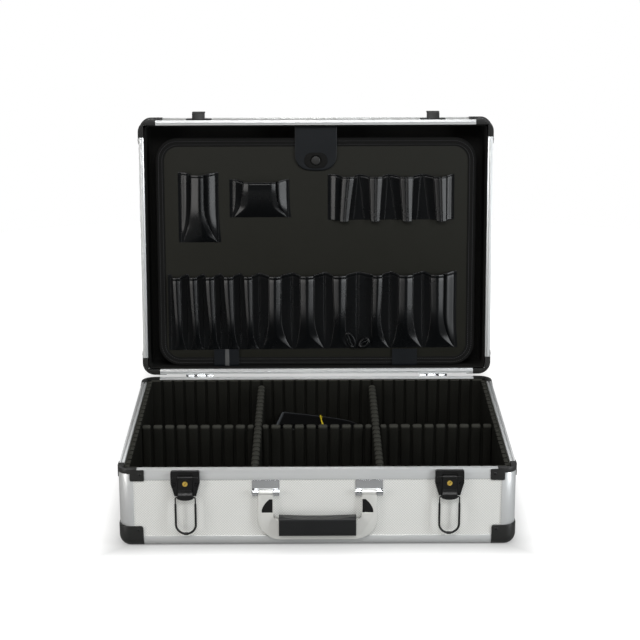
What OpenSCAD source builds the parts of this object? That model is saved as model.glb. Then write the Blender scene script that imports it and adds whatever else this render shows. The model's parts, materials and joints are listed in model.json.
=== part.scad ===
// Aluminium-framed hard tool case, shown open: X to the right, Y to the back, Z up.
// The origin is the centre of the base's underside. The lid and everything it
// carries is drawn closed and then swung open about the hinge pins.

/* [Case] */
// Width of the case over its profiles
case_w = 457; // [440:1:480]
// Depth of the case over its profiles, front to back
case_d = 334; // [315:1:350]
// Height of the base up to the closing line
base_h = 97; // [94:1:104]
// Height of the lid above the closing line
lid_h = 55; // [52:1:62]
// Angle through which the lid stands open
lid_open_angle = 95.6; // [88:0.1:100]

/* [Shell] */
// Thickness of the laminated wall panels
wall_t = 4; // [3:0.5:5]
// Height of an aluminium profile's lip over the panels
lip_t = 1; // [0.6:0.1:1.5]
// Outside radius of the vertical corner profiles
post_r = 16; // [14:0.5:18]
// Outside radius of the bottom and top edge profiles
edge_r = 13; // [11:0.5:14]
// Width of the flat lip beyond a profile's round nose
nose_lip = 1.7; // [1:0.1:3]
// Width of the closing rims, seen from above
rim_w = 6.3; // [6:0.1:8]
// Height of the rims' outer band
rim_h = 13.4; // [11:0.2:16]
// Height of the rims' inner flange
rim_flange_h = 8; // [5:0.5:10]
// Thickness of the rims' closing face
rim_top_t = 3; // [2.5:0.1:4]
// Width of the seal tongue under the lid's rim
seal_w = 1; // [0.8:0.1:1.2]
// Height of the seal tongue
seal_h = 1.2; // [0.8:0.1:1.6]
// Gap left between the two closed rims
rim_gap = 0.3; // [0.2:0.1:0.5]

/* [Corner caps] */
// Length of a ball corner along the case's width and depth
ball_l = 28; // [26:0.5:32]
// Height of a ball corner
ball_h = 26.9; // [24:0.5:30]
// Outside radius of a ball corner
ball_r = 13.5; // [12:0.5:14]
// How far the plastic corners stand proud of the profiles
cap_proud = 0.8; // [0.5:0.1:1.2]
// Length of a rim corner along each side
rim_cap_l = 22; // [20:0.5:26]
// Height of a rim corner's band
rim_cap_h = 5.5; // [4.5:0.5:7]
// Width of a rim corner's riveted tab
tab_w = 16.5; // [14:0.5:18]
// Height of a rim corner's riveted tab
tab_h = 13.4; // [12:0.5:15]
// Radius of the rivet heads
rivet_r = 2; // [1.5:0.1:2.5]
// Height of the rivet heads
rivet_h = 0.7; // [0.4:0.1:1]

/* [Foam and dividers] */
// Thickness of the foam behind its ribs
foam_back = 4; // [3:0.5:5]
// Depth of the foam's ribs
rib_depth = 4; // [3:0.5:5]
// Spacing of the foam's ribs
rib_pitch = 14.5; // [13:0.5:16]
// Width of the slots between ribs
slot_w = 2.8; // [2.4:0.1:3.5]
// Thickness of a divider's stiff core
core_t = 2.2; // [1.6:0.1:2.4]
// Height of the dividers above the foam floor
divider_h = 81; // [70:1:82]
// Number of rib spacings from the middle to a long divider
divider_step = 5; // [4:1:6]
// Clearance of the dividers at the foam
divider_gap = 0.3; // [0.2:0.1:0.4]

/* [Hinges] */
// Distance of the hinge axis behind the case
hinge_out = 2.8; // [2.8:0.1:4]
// Distance of each hinge's middle from the case's side
hinge_inset = 74.5; // [60:0.5:100]
// Width of a hinge
hinge_w = 36; // [30:1:44]
// Outside radius of the hinge knuckles
knuckle_r = 2.6; // [2.2:0.1:2.6]
// Radius of the hinge pins
hinge_pin_r = 1.25; // [1:0.05:1.4]
// Thickness of the hinge leaves
leaf_t = 1.2; // [1:0.1:1.4]
// Height of a hinge leaf
leaf_h = 24; // [20:1:28]

/* [Latches] */
// Distance of each latch's middle from the case's side
latch_inset = 77.5; // [60:0.5:100]
// Width of a latch housing
housing_w = 33; // [31:0.5:36]
// Width of a latch housing at its lower end
housing_foot_w = 24; // [23:0.5:26]
// Height of a latch housing
housing_h = 30; // [28:0.5:31]
// Distance of the bail's pivot below the closing line
bail_drop = 32; // [31:0.5:33]
// Gap between a housing's top and the closing line
housing_drop = 1.2; // [0.8:0.1:2]
// How far the housing's cheeks stand out
cheek_out = 5; // [4:0.1:5]
// Thickness of the housing's back
housing_back = 1.2; // [1:0.1:1.4]
// Width of the latch lever
lever_w = 16.4; // [15:0.2:17]
// Thickness of the latch lever
lever_t = 3; // [2.5:0.1:3.2]
// Gap around the moving latch parts
latch_gap = 0.4; // [0.3:0.05:0.5]
// Radius of the bail wire
wire_r = 1.3; // [1:0.1:1.4]
// Radius of the bail wire's turned ends
wire_end_r = 0.8; // [0.6:0.1:0.9]
// Half the distance between the legs of a bail
bail_half = 11.4; // [10.8:0.1:12]
// Length of a bail from its pivot to its far end
bail_l = 44.7; // [42:0.1:46]
// Distance of the bail's pivot from the rim band's face
bail_out = 6.7; // [6.6:0.1:7]
// Radius of the lock cylinder
lock_r = 3; // [2.5:0.1:3.4]
// Running clearance of pins and the lock cylinder, on the radius
run_gap = 0.05; // [0.03:0.01:0.08]

/* [Handle] */
// Distance of each handle bracket from the middle
bracket_x = 59.2; // [56:0.1:62]
// Width of a handle bracket
bracket_w = 31.6; // [30:0.2:34]
// Distance of the handle's pivot below the closing line
handle_drop = 27.4; // [25:0.1:30]
// Distance of the handle's pivot from the front panel
handle_pivot_out = 4.2; // [4.2:0.1:5]
// Outside radius of the bracket barrels
barrel_r = 3; // [2.6:0.1:3]
// Radius of the handle's pins
handle_pin_r = 1.5; // [1.2:0.1:1.7]
// Thickness of the pressed handle frame
frame_t = 3.2; // [2.8:0.1:3.6]
// Overall width of the handle frame
frame_w = 136; // [134:1:140]
// Width of the handle frame's tabs
tab_frame_w = 17.5; // [16.5:0.5:18]
// Height of the handle frame below its pivot
frame_h = 57.7; // [55:0.1:62]
// Radius of the handle frame's lower corners
frame_r = 26; // [20:1:30]
// Distance of the grip's upper edge below the pivot
grip_drop = 27.5; // [25:0.1:30]
// Height of the grip
grip_h = 24.4; // [23:0.2:26]
// Length of the grip
grip_l = 88.6; // [84:0.2:92]
// Thickness of the grip
grip_t = 12.6; // [11:0.2:15]

/* [Strap lugs] */
// Distance of the strap lugs in front of the case's middle
lug_y = 60; // [40:1:90]
// Distance of the strap lugs' ring axis below the closing line
lug_drop = 19; // [18:0.5:24]
// Width of a strap lug
lug_w = 24; // [20:0.5:30]
// Radius of the D-ring wire
ring_wire_r = 1.2; // [1:0.1:1.4]
// Inside width of a D-ring
ring_in_w = 26; // [25:0.5:32]
// Length of a D-ring from its pivot
ring_l = 17; // [15:0.5:22]

/* [Tool pallet] */
// Gap between the pallet board and the case's sides
pallet_side = 21; // [19.5:0.5:28]
// Gap between the pallet board's upper edge and the case's front
pallet_head = 25; // [22:0.5:34]
// Thickness of the pallet board
pallet_t = 5; // [4:0.5:6]
// Distance of the pallet's face behind the closing line
pallet_depth = 13; // [12:0.5:15]
// Distance of the pallet's lower edge from the lid's hinge side
pallet_edge = 10; // [9.5:0.5:11]
// Radius of the pallet's corners
pallet_r = 28; // [22:1:32]
// Width of the binding tape on the pallet's faces
binding_w = 10; // [8:0.5:12]
// Thickness of the binding tape
binding_t = 0.8; // [0.6:0.1:1]
// Thickness of the pocket sheet
sheet_t = 1.2; // [0.9:0.1:1.4]
// Depth of the lid's lining
lining_t = 3; // [2:0.5:3.5]
// Distance of the pocket row from the pallet's lower edge
row_rise = 23; // [21:1:26]
// Height of the pocket row
row_h = 100; // [88:1:106]
// Height of the tool loops
loops_h = 60; // [50:1:64]
// How far the wide pockets stand out
pocket_out = 11; // [9:0.5:11]
// Width of the snap tongue
tongue_w = 54.6; // [50:0.2:60]
// Thickness of the snap tongue
tongue_t = 1.6; // [1.2:0.1:2]
// Distance of the press stud from the pallet's upper edge
stud_drop = 28; // [26:1:30]
// Distance of the tongue's lower end below the press stud
tongue_reach = 13; // [12:0.5:14]
// Radius of the press stud's knob
stud_r = 6; // [5:0.1:6.5]
// Width of the two straps under the pallet
strap_w = 33; // [28:0.5:36]

/* [Shoulder strap] */
// Length of the folded shoulder strap
bundle_l = 112; // [100:1:120]
// Width of the shoulder strap's webbing
bundle_w = 38; // [32:1:42]
// Height of the folded shoulder strap at its taller end
bundle_t = 52; // [46:1:56]

/* [Hidden] */
$fn = 48;
eps = 0.01;
// Far enough to cut right through any one piece
reach = 2 * case_w;

// Distance from the profiles' faces to the panels' inner faces
shell_t = lip_t + wall_t;
// Distance from the profiles' faces to the foam ribs' faces
foam_in = shell_t + foam_back + rib_depth;
foam_floor_top = shell_t + foam_back;
divider_top = foam_floor_top + divider_h;
lid_half_h = lid_h - rim_gap;
post_inner_r = 6;
cap_corner_r = 3;
// Where a rim corner's tab starts, so that it covers the joint of post and rim
tab_start = post_r - 2;
rivet_at_tab = tab_start + 0.7 * tab_w;
rivet_at_ball = 0.8 * ball_l;
divider_x = divider_step * rib_pitch;
hinge_x = case_w / 2 - hinge_inset;
latch_x = case_w / 2 - latch_inset;
handle_pivot_z = base_h - handle_drop;
frame_foot_z = handle_pivot_z - frame_h;
grip_top_z = handle_pivot_z - grip_drop;
grip_foot_z = grip_top_z - grip_h;
lug_z = base_h - lug_drop;
pallet_w = case_w - 2 * pallet_side;
pallet_l = case_d - pallet_edge - pallet_head;
pallet_top = pallet_edge + pallet_l;
row_foot = pallet_edge + row_rise;
row_top = row_foot + row_h;
stud_b = pallet_top - stud_drop;
tongue_foot = stud_b - tongue_reach;
divider_t = core_t + 2 * rib_depth - 0.2;

aluminium = "#d9d9d6";
panel_grey = "#dededa";
black = "#262625";
foam_black = "#1b1b18";
chrome = "#d8dadc";
brass = "#d9b84a";
pvc = "#1a1c1d";
board_grey = "#2a2924";

// ---- shared shapes ----

// A rectangle with true round corners
module round_rect(x0, y0, x1, y1, r) {
    translate([x0 + r, y0]) square([x1 - x0 - 2 * r, y1 - y0]);
    translate([x0, y0 + r]) square([x1 - x0, y1 - y0 - 2 * r]);
    for (x = [x0 + r, x1 - r], y = [y0 + r, y1 - r]) translate([x, y]) circle(r = r);
}

// A box given by its lowest and highest corners
module box(low, high) {
    translate(low) cube(high - low);
}

// Repeats its child in the four corners, drawn for the front left one
module at_corners() {
    for (sx = [0, 1], sy = [0, 1])
        mirror([sx, 0, 0]) mirror([0, sy, 0]) translate([-case_w / 2, -case_d / 2, 0]) children();
}

// Extrudes a section (inwards, up) along X
module run(length) {
    rotate([90, 0, 90]) linear_extrude(height = length, center = true) children();
}

// Runs a section along all four sides, drawn for the front
module side_runs(length_x, length_y) {
    for (s = [0, 1]) mirror([0, s, 0]) translate([0, -case_d / 2, 0]) run(length_x) children();
    for (s = [0, 1])
        mirror([s, 0, 0]) translate([-case_w / 2, 0, 0]) rotate([0, 0, -90]) run(length_y) children();
}

// Extrudes an outline (x, z) out of the front, from a distance in front of the rim band
module out_plate(from, to) {
    translate([0, -from, 0]) rotate([90, 0, 0]) linear_extrude(height = to - from) children();
}

// Places its child on the front rim band
module at_front(x) {
    translate([x, -case_d / 2, 0]) children();
}

// Draws its child for the lid: the half case turned over on the closing line
module as_lid() {
    swing_open() translate([0, 0, base_h + lid_h]) mirror([0, 0, 1]) children();
}

// Swings what is drawn closed open about the hinge pins
module swing_open() {
    translate([0, case_d / 2 + hinge_out, base_h]) rotate([-lid_open_angle, 0, 0])
        translate([0, -case_d / 2 - hinge_out, -base_h]) children();
}

// Places an outline (x, distance from the hinge side) at a depth inside the closed lid
module in_lid(depth) {
    swing_open() translate([0, case_d / 2, base_h + depth]) mirror([0, 1, 0]) children();
}

// ---- the two half cases: z is 0 on the large face and h on the closing line ----

// The large panel, rebated for the profiles' lips and the corners
module floor_panel(h) {
    inset = edge_r + nose_lip;
    box([edge_r - case_w / 2, edge_r - case_d / 2, lip_t],
        [case_w / 2 - edge_r, case_d / 2 - edge_r, shell_t]);
    difference() {
        box([inset - case_w / 2, inset - case_d / 2, 0],
            [case_w / 2 - inset, case_d / 2 - inset, lip_t]);
        at_corners() translate([0, 0, -lip_t]) linear_extrude(3 * lip_t) ball_outline(ball_l, ball_l);
    }
}

module front_panel(h) {
    box([post_r - case_w / 2, lip_t - case_d / 2, edge_r],
        [case_w / 2 - post_r, shell_t - case_d / 2, h - rim_top_t]);
}

module side_panel(h) {
    box([lip_t - case_w / 2, post_r - case_d / 2, edge_r],
        [shell_t - case_w / 2, case_d / 2 - post_r, h - rim_top_t]);
}

// Section of a nosed profile: a quarter round with two lips that lap the panels
module nose_section(r, inner_r) {
    difference() {
        union() {
            intersection() {
                translate([r, r]) circle(r = r);
                square(r);
            }
            translate([r - eps, 0]) square([nose_lip + eps, lip_t]);
            translate([0, r - eps]) square([lip_t, nose_lip + eps]);
        }
        if (inner_r > 0) round_rect(shell_t, shell_t, reach, reach, inner_r);
        else translate([shell_t, shell_t]) square(reach);
    }
}

module edge_profiles() {
    side_runs(case_w - 2 * ball_l, case_d - 2 * ball_l) nose_section(edge_r, 0);
}

module corner_posts(h) {
    at_corners() translate([0, 0, ball_h]) linear_extrude(height = h - rim_cap_h - ball_h)
        nose_section(post_r, post_inner_r);
}

// Outline of one flat side of a ball corner, with its free corner rounded
module ball_outline(l, h) {
    round_rect(-reach, -reach, l, h, cap_corner_r);
}

// Three round edges that meet in a ball
module ball_block() {
    c = ball_r - cap_proud;
    l = ball_l + ball_r;
    translate([c, c, ball_r]) {
        sphere(r = ball_r);
        cylinder(r = ball_r, h = l);
        rotate([0, 90, 0]) cylinder(r = ball_r, h = l);
        rotate([-90, 0, 0]) cylinder(r = ball_r, h = l);
        translate([0, 0, -ball_r]) cube([l, l, l]);
        translate([0, -ball_r, 0]) cube([l, l, l]);
        translate([-ball_r, 0, 0]) cube([l, l, l]);
    }
}

module ball_corner(h) {
    difference() {
        intersection() {
            ball_block();
            linear_extrude(height = reach, center = true) ball_outline(ball_l, ball_l);
            rotate([90, 0, 0]) linear_extrude(height = reach, center = true) ball_outline(ball_l, ball_h);
            rotate([90, 0, 90]) linear_extrude(height = reach, center = true) ball_outline(ball_l, ball_h);
        }
        box([shell_t, shell_t, shell_t], [reach, reach, reach]);
        box([post_r, lip_t, edge_r], [reach, shell_t + eps, reach]);
        box([lip_t, post_r, edge_r], [shell_t + eps, reach, reach]);
        box([edge_r, edge_r, lip_t], [reach, reach, shell_t + eps]);
    }
}

module rim_corner(h) {
    difference() {
        union() {
            translate([0, 0, h - rim_cap_h]) linear_extrude(height = rim_cap_h) difference() {
                round_rect(-cap_proud, -cap_proud, rim_cap_l + post_r, rim_cap_l + post_r, post_r);
                translate([rim_cap_l, -reach]) square([reach, 2 * reach]);
                translate([-reach, rim_cap_l]) square([2 * reach, reach]);
                translate([rim_w, rim_w]) square(reach);
            }
            rim_tab(h);
            mirror([1, -1, 0]) rim_tab(h);
        }
        box([post_r, lip_t, 0], [reach, shell_t, h - rim_top_t]);
        box([lip_t, post_r, 0], [shell_t, reach, h - rim_top_t]);
    }
}

// The riveted tab of a rim corner, lapping post and rim on the front
module rim_tab(h) {
    out_plate(0, cap_proud)
        round_rect(tab_start, h - 1 - tab_h, tab_start + tab_w, h - 1, 1.5);
}

// Section of a closing rim (inwards, up from the closing line)
module rim_section() {
    translate([0, -rim_top_t]) square([rim_w, rim_top_t]);
    translate([0, -rim_h]) square([lip_t, rim_h]);
    translate([shell_t, -rim_flange_h]) square([rim_w - shell_t, rim_flange_h]);
}

// Centre of the seal, inwards from the rim's outer face
seal_at = 0.5 * rim_w;
seal_gap = 0.3;
groove_h = seal_h + 0.5;

module rims(h, tongue) {
    full_x = case_w - 2 * rim_cap_l;
    full_y = case_d - 2 * rim_cap_l;
    band_in = 2 * (post_r + nose_lip);
    translate([0, 0, h]) {
        difference() {
            side_runs(full_x, full_y) rim_section();
            if (!tongue)
                side_runs(full_x + 1, full_y + 1)
                    translate([seal_at - seal_w / 2 - seal_gap, -groove_h])
                        square([seal_w + 2 * seal_gap, reach]);
        }
        if (tongue)
            side_runs(full_x - 2, full_y - 2)
                translate([seal_at - seal_w / 2, -rim_top_t / 2]) square([seal_w, rim_top_t / 2 + seal_h]);
        side_runs(case_w - band_in, case_d - band_in)
            translate([0, -rim_h]) square([lip_t, rim_h - rim_cap_h]);
    }
}

module rivet() {
    rotate([90, 0, 0]) cylinder(r1 = rivet_r, r2 = 0.6 * rivet_r, h = rivet_h);
}

// The rivet heads of one half case, on the front and the sides
module rivets(h) {
    at_corners() {
        translate([rivet_at_tab, -cap_proud, h - 6.5]) rivet();
        translate([rivet_at_ball, -cap_proud, ball_h - 4.5]) rivet();
        mirror([1, -1, 0]) {
            translate([rivet_at_tab, -cap_proud, h - 6.5]) rivet();
            translate([rivet_at_ball, -cap_proud, ball_h - 4.5]) rivet();
        }
    }
}

module base_floor_panel() { color(panel_grey) floor_panel(base_h); }
module base_front_wall() { color(panel_grey) front_panel(base_h); }
module base_rear_wall() { color(panel_grey) mirror([0, 1, 0]) front_panel(base_h); }
module base_side_walls() { color(panel_grey) for (s = [0, 1]) mirror([s, 0, 0]) side_panel(base_h); }
module base_rims() { color(aluminium) rims(base_h, false); }
module base_edge_profiles() { color(aluminium) edge_profiles(); }
module base_corner_posts() { color(aluminium) corner_posts(base_h); }
module base_bottom_corners() { color(black) at_corners() ball_corner(base_h); }
module base_rim_corners() { color(black) at_corners() rim_corner(base_h); }
module base_rivets() { color(black) rivets(base_h); }

module lid_top_panel() { color(panel_grey) as_lid() floor_panel(lid_half_h); }
module lid_front_wall() { color(panel_grey) as_lid() front_panel(lid_half_h); }
module lid_rear_wall() { color(panel_grey) as_lid() mirror([0, 1, 0]) front_panel(lid_half_h); }
module lid_side_walls() {
    color(panel_grey) as_lid() for (s = [0, 1]) mirror([s, 0, 0]) side_panel(lid_half_h);
}
module lid_rims() { color(aluminium) as_lid() rims(lid_half_h, true); }
module lid_edge_profiles() { color(aluminium) as_lid() edge_profiles(); }
module lid_corner_posts() { color(aluminium) as_lid() corner_posts(lid_half_h); }
module lid_top_corners() { color(black) as_lid() at_corners() ball_corner(lid_half_h); }
module lid_rim_corners() { color(black) as_lid() at_corners() rim_corner(lid_half_h); }
module lid_rivets() { color(black) as_lid() rivets(lid_half_h); }

// ---- foam and dividers ----

// Cuts the slots between ribs, at every rib spacing along X within a length
module rib_slots(length, from, to, low, high) {
    last = floor((length / 2 - slot_w / 2) / rib_pitch);
    for (k = [-last:last])
        box([k * rib_pitch - slot_w / 2, from, low], [k * rib_pitch + slot_w / 2, to, high]);
}

// A ribbed foam wall along X, its back on y = 0, notched under the rim's flange
module foam_wall(length, low, high) {
    difference() {
        box([-length / 2, 0, low], [length / 2, foam_back + rib_depth, high]);
        rib_slots(length, foam_back, foam_in, low - 1, high + 1);
        box([-reach, -1, base_h - rim_flange_h - divider_gap], [reach, rim_w - shell_t + divider_gap, reach]);
    }
}

// The ribs stand nearly flush with the rim
foam_top = base_h - 1.4;

module foam_floor() {
    color(foam_black)
        box([shell_t - case_w / 2, shell_t - case_d / 2, shell_t],
            [case_w / 2 - shell_t, case_d / 2 - shell_t, foam_floor_top]);
}

module foam_front_wall() {
    color(foam_black) translate([0, shell_t - case_d / 2, 0])
        foam_wall(case_w - 2 * (shell_t + post_inner_r), foam_floor_top, foam_top);
}

module foam_rear_wall() {
    color(foam_black) mirror([0, 1, 0]) translate([0, shell_t - case_d / 2, 0])
        foam_wall(case_w - 2 * (shell_t + post_inner_r), foam_floor_top, foam_top);
}

module foam_side_walls() {
    color(foam_black) for (s = [0, 1])
        mirror([s, 0, 0]) translate([shell_t - case_w / 2, 0, 0]) rotate([0, 0, -90])
            foam_wall(case_d - 2 * foam_in, foam_floor_top, foam_top);
}

// A divider along X from one end to the other: ribs on both sides of a stiff core
module divider(x0, x1, tongue0, tongue1) {
    r = divider_t / 2;
    difference() {
        translate([(x0 + x1) / 2, 0, 0]) rotate([90, 0, 90])
            linear_extrude(height = x1 - x0, center = true) {
                translate([-r, foam_floor_top]) square([divider_t, divider_top - r - foam_floor_top]);
                translate([0, divider_top - r]) circle(r = r);
            }
        for (k = [ceil(x0 / rib_pitch):floor(x1 / rib_pitch)])
            box([k * rib_pitch - slot_w / 2, -reach, 0], [k * rib_pitch + slot_w / 2, reach, reach]);
    }
    box([x0 - tongue0, -core_t / 2, foam_floor_top], [x1 + tongue1, core_t / 2, divider_top - r / 2]);
}

// How far a divider's core reaches into a slot
core_reach = rib_depth - divider_gap;

module long_divider(x) {
    half = case_d / 2 - foam_in - divider_gap;
    translate([x, 0, 0]) rotate([0, 0, 90])
        divider(-half, half, core_reach, core_reach);
}

module divider_left() { color(foam_black) long_divider(-divider_x); }
module divider_right() { color(foam_black) long_divider(divider_x); }

module cross_dividers() {
    inner = divider_x - divider_t / 2 - divider_gap;
    outer = divider_x + divider_t / 2 + divider_gap;
    wall = case_w / 2 - foam_in - divider_gap;
    // A slot in a long divider is shallower than the rib by the core
    side_reach = (divider_t - core_t) / 2 - divider_gap;
    color(foam_black) {
        divider(-inner, inner, side_reach, side_reach);
        divider(outer, wall, side_reach, core_reach);
        divider(-wall, -outer, core_reach, side_reach);
    }
}

// ---- latches ----

housing_top = base_h - housing_drop;
housing_foot = housing_top - housing_h;
lever_pivot_z = base_h - 9;
lever_pivot_out = 4;
lever_nose_r = 2.5;
bail_pivot_z = base_h - bail_drop;
lock_z = base_h - 16;
lever_foot = bail_pivot_z - 6;
lever_face = lever_pivot_out + lever_t / 2 + 0.3;
lever_rear = lever_face - lever_t;
thumb_top = bail_pivot_z + 8;
thumb_out = 9;
lever_pin_r = 1.2;
bridge_h = 4.6;
pit_r = 2.3;
pit_h = 1.2;
pit_x = 12.8;

// Outline of the housing: parallel sides that taper to the foot
module housing_outline() {
    taper_z = housing_top - 0.5 * housing_h;
    difference() {
        round_rect(-housing_w / 2, housing_foot, housing_w / 2, housing_top, 2);
        for (s = [-1, 1])
            polygon([
                [s * housing_w / 2, taper_z],
                [s * housing_foot_w / 2, housing_foot - 1],
                [s * housing_w, housing_foot - 1],
                [s * housing_w, taper_z]
            ]);
    }
}

module latch_housing(x) {
    channel = lever_w / 2 + latch_gap;
    color(black) at_front(x) difference() {
        union() {
            out_plate(0, cheek_out) housing_outline();
            // The foot below the rim band reaches back to the panel
            out_plate(-lip_t, eps) intersection() {
                housing_outline();
                translate([-housing_w, 0]) square([2 * housing_w, base_h - rim_h]);
            }
        }
        // Channel for the lever, closed at its top by a bridge
        out_plate(housing_back, reach)
            translate([-channel, 0]) square([2 * channel, housing_top - bridge_h]);
        // Pits in the cheeks for the rivets
        for (s = [-1, 1])
            out_plate(cheek_out - pit_h, reach) translate([s * pit_x, lock_z - 1]) circle(r = pit_r);
        // Recess across the bridge
        out_plate(cheek_out - 0.8, reach)
            translate([-lever_w / 2, housing_top - bridge_h + 1]) square([lever_w, 1.6]);
        translate([0, -lever_pivot_out, lever_pivot_z]) rotate([0, 90, 0])
            cylinder(r = lever_pin_r + run_gap, h = housing_w - 4, center = true);
    }
    // Rivets in the cheeks and the pin the lever turns on
    color(black) at_front(x) {
        for (s = [-1, 1])
            translate([s * pit_x, -(cheek_out - pit_h), lock_z - 1])
                rotate([90, 0, 0]) cylinder(r1 = pit_r - 0.4, r2 = 0.6 * pit_r, h = pit_h - 0.3);
        translate([0, -lever_pivot_out, lever_pivot_z]) rotate([0, 90, 0])
            cylinder(r = lever_pin_r, h = housing_w - 4.4, center = true);
    }
}

module left_latch_housing() { latch_housing(-latch_x); }
module right_latch_housing() { latch_housing(latch_x); }

// Side section of the lever (out, z): plate, round nose on the pin and thumb tab
module lever_section() {
    tab_r = 3;
    translate([lever_pivot_out, lever_pivot_z]) circle(r = lever_nose_r);
    translate([lever_rear, thumb_top - 1]) square([lever_t, lever_pivot_z - thumb_top + 1]);
    difference() {
        round_rect(lever_rear, lever_foot, thumb_out, thumb_top, tab_r);
        translate([thumb_out + 6, thumb_top + 1]) circle(r = 8.5);
    }
}

module latch_lever(x) {
    color(black) at_front(x) difference() {
        translate([-lever_w / 2, 0, 0]) mirror([0, 1, 0]) rotate([90, 0, 90])
            linear_extrude(height = lever_w) lever_section();
        translate([0, -lever_pivot_out, lever_pivot_z]) rotate([0, 90, 0])
            cylinder(r = lever_pin_r + run_gap, h = reach, center = true);
        translate([0, 0, lock_z]) rotate([90, 0, 0]) cylinder(r = lock_r + run_gap, h = reach);
        translate([0, -bail_out, bail_pivot_z]) rotate([0, 90, 0])
            cylinder(r = wire_end_r + run_gap, h = reach, center = true);
        // Rounded lower corners of the thumb tab
        for (s = [-1, 1])
            out_plate(-reach / 2, reach / 2) difference() {
                translate([s * lever_w / 2 - 3, lever_foot - 3]) square(6);
                translate([s * (lever_w / 2 - 3), lever_foot + 3]) circle(r = 3);
                translate([-lever_w / 2 + 3, 0]) square([lever_w - 6, reach]);
                translate([-lever_w, lever_foot + 3]) square([2 * lever_w, reach]);
            }
    }
}

module left_latch_lever() { latch_lever(-latch_x); }
module right_latch_lever() { latch_lever(latch_x); }

// The lock cylinder with its key slot, turning in the lever
module lock_core(x) {
    color(brass) at_front(x) difference() {
        translate([0, -lever_rear, lock_z]) rotate([90, 0, 0]) cylinder(r = lock_r, h = lever_t + 0.5);
        translate([0, -lever_face, lock_z]) rotate([0, 40, 0])
            box([-0.45, -1, -2.1], [0.45, 1.2, 2.1]);
    }
}

module left_lock_core() { lock_core(-latch_x); }
module right_lock_core() { lock_core(latch_x); }

bail_nib_r = wire_r + 0.4;

// The wire loop, hanging: turned ends, thin necks and a round foot
module latch_bail(x) {
    neck = 8;
    bend_z = bail_pivot_z - bail_l + bail_half;
    color(black) at_front(x) translate([0, -bail_out, 0]) {
        for (s = [-1, 1]) {
            translate([s * bail_half, 0, bail_pivot_z - neck]) cylinder(r = wire_end_r, h = neck);
            translate([s * bail_half, 0, bail_pivot_z]) sphere(r = wire_end_r);
            translate([s * bail_half, 0, bend_z]) cylinder(r = wire_r, h = bail_pivot_z - neck - bend_z);
        }
        for (s = [0, 1])
            mirror([s, 0, 0]) translate([lever_w / 2 - 3, 0, bail_pivot_z]) rotate([0, 90, 0])
                cylinder(r = wire_end_r, h = bail_half - lever_w / 2 + 3);
        translate([0, 0, bend_z]) rotate([-90, 0, 0])
            rotate_extrude(angle = 180) translate([bail_half, 0]) circle(r = wire_r);
        translate([0, 0, bend_z - bail_half]) rotate([0, 90, 0])
            cylinder(r = bail_nib_r, h = 5, center = true);
    }
}

module left_latch_bail() { latch_bail(-latch_x); }
module right_latch_bail() { latch_bail(latch_x); }

// The hooks on the lid, which the bails reach when they point up
catch_w = 16.3;
catch_plate_w = 32.5;
catch_plate_h = 17;
catch_plate_t = 1.2;
catch_lip_out = bail_out + bail_nib_r + 0.3;
catch_lip_t = 1.5;

module latch_catch(x) {
    bail_top = bail_pivot_z + bail_l;
    foot = base_h + rim_gap + 1;
    lip_top = bail_top + wire_r + 2;
    at_front(x) {
        out_plate(0, catch_plate_t)
            round_rect(-catch_plate_w / 2, foot, catch_plate_w / 2, foot + catch_plate_h, 2);
        out_plate(-lip_t, eps)
            round_rect(-catch_plate_w / 2, base_h + rim_h + rim_gap + 0.1, catch_plate_w / 2,
                foot + catch_plate_h, 1);
        out_plate(catch_plate_t - eps, catch_lip_out) intersection() {
            translate([-catch_w / 2, foot + 1]) square([catch_w, catch_plate_h]);
            translate([0, bail_top - bail_half]) circle(r = bail_half - bail_nib_r - 0.4);
        }
        out_plate(catch_lip_out - eps, catch_lip_out + catch_lip_t)
            round_rect(-catch_w / 2, foot + 2, catch_w / 2, lip_top, 1.2);
    }
}

module latch_catches() {
    color(black) swing_open() {
        latch_catch(-latch_x);
        latch_catch(latch_x);
    }
}

// ---- handle ----

bracket_top = base_h - rim_h;
bracket_foot = handle_pivot_z - 5.7;
bracket_t = 1.2;
barrel_gap = 0.4;
mid_barrel_w = 16;
mid_barrel_r = barrel_r - 0.2;

module at_handle(x) {
    translate([x, lip_t - case_d / 2, 0]) children();
}

// A barrel along X at the handle's pivot
module barrel(x0, x1, r) {
    translate([x0, -handle_pivot_out, handle_pivot_z]) rotate([0, 90, 0]) cylinder(r = r, h = x1 - x0);
}

module handle_brackets() {
    inner = mid_barrel_w / 2 + barrel_gap;
    color(chrome) for (s = [-1, 1]) at_handle(s * bracket_x) difference() {
        union() {
            out_plate(0, bracket_t)
                round_rect(-bracket_w / 2, bracket_foot, bracket_w / 2, bracket_top - 0.3, 1);
            for (m = [0, 1]) mirror([m, 0, 0]) {
                barrel(inner, bracket_w / 2, barrel_r);
                out_plate(0, handle_pivot_out)
                    translate([inner, handle_pivot_z - 1]) square([bracket_w / 2 - inner, 2]);
            }
        }
        barrel(-bracket_w, bracket_w, handle_pin_r + run_gap);
    }
}

module handle_pins() {
    color(chrome) for (s = [-1, 1]) at_handle(s * bracket_x)
        barrel(-bracket_w / 2 + 0.5, bracket_w / 2 - 0.5, handle_pin_r);
}

grip_bar_top = grip_top_z - 6;

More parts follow.
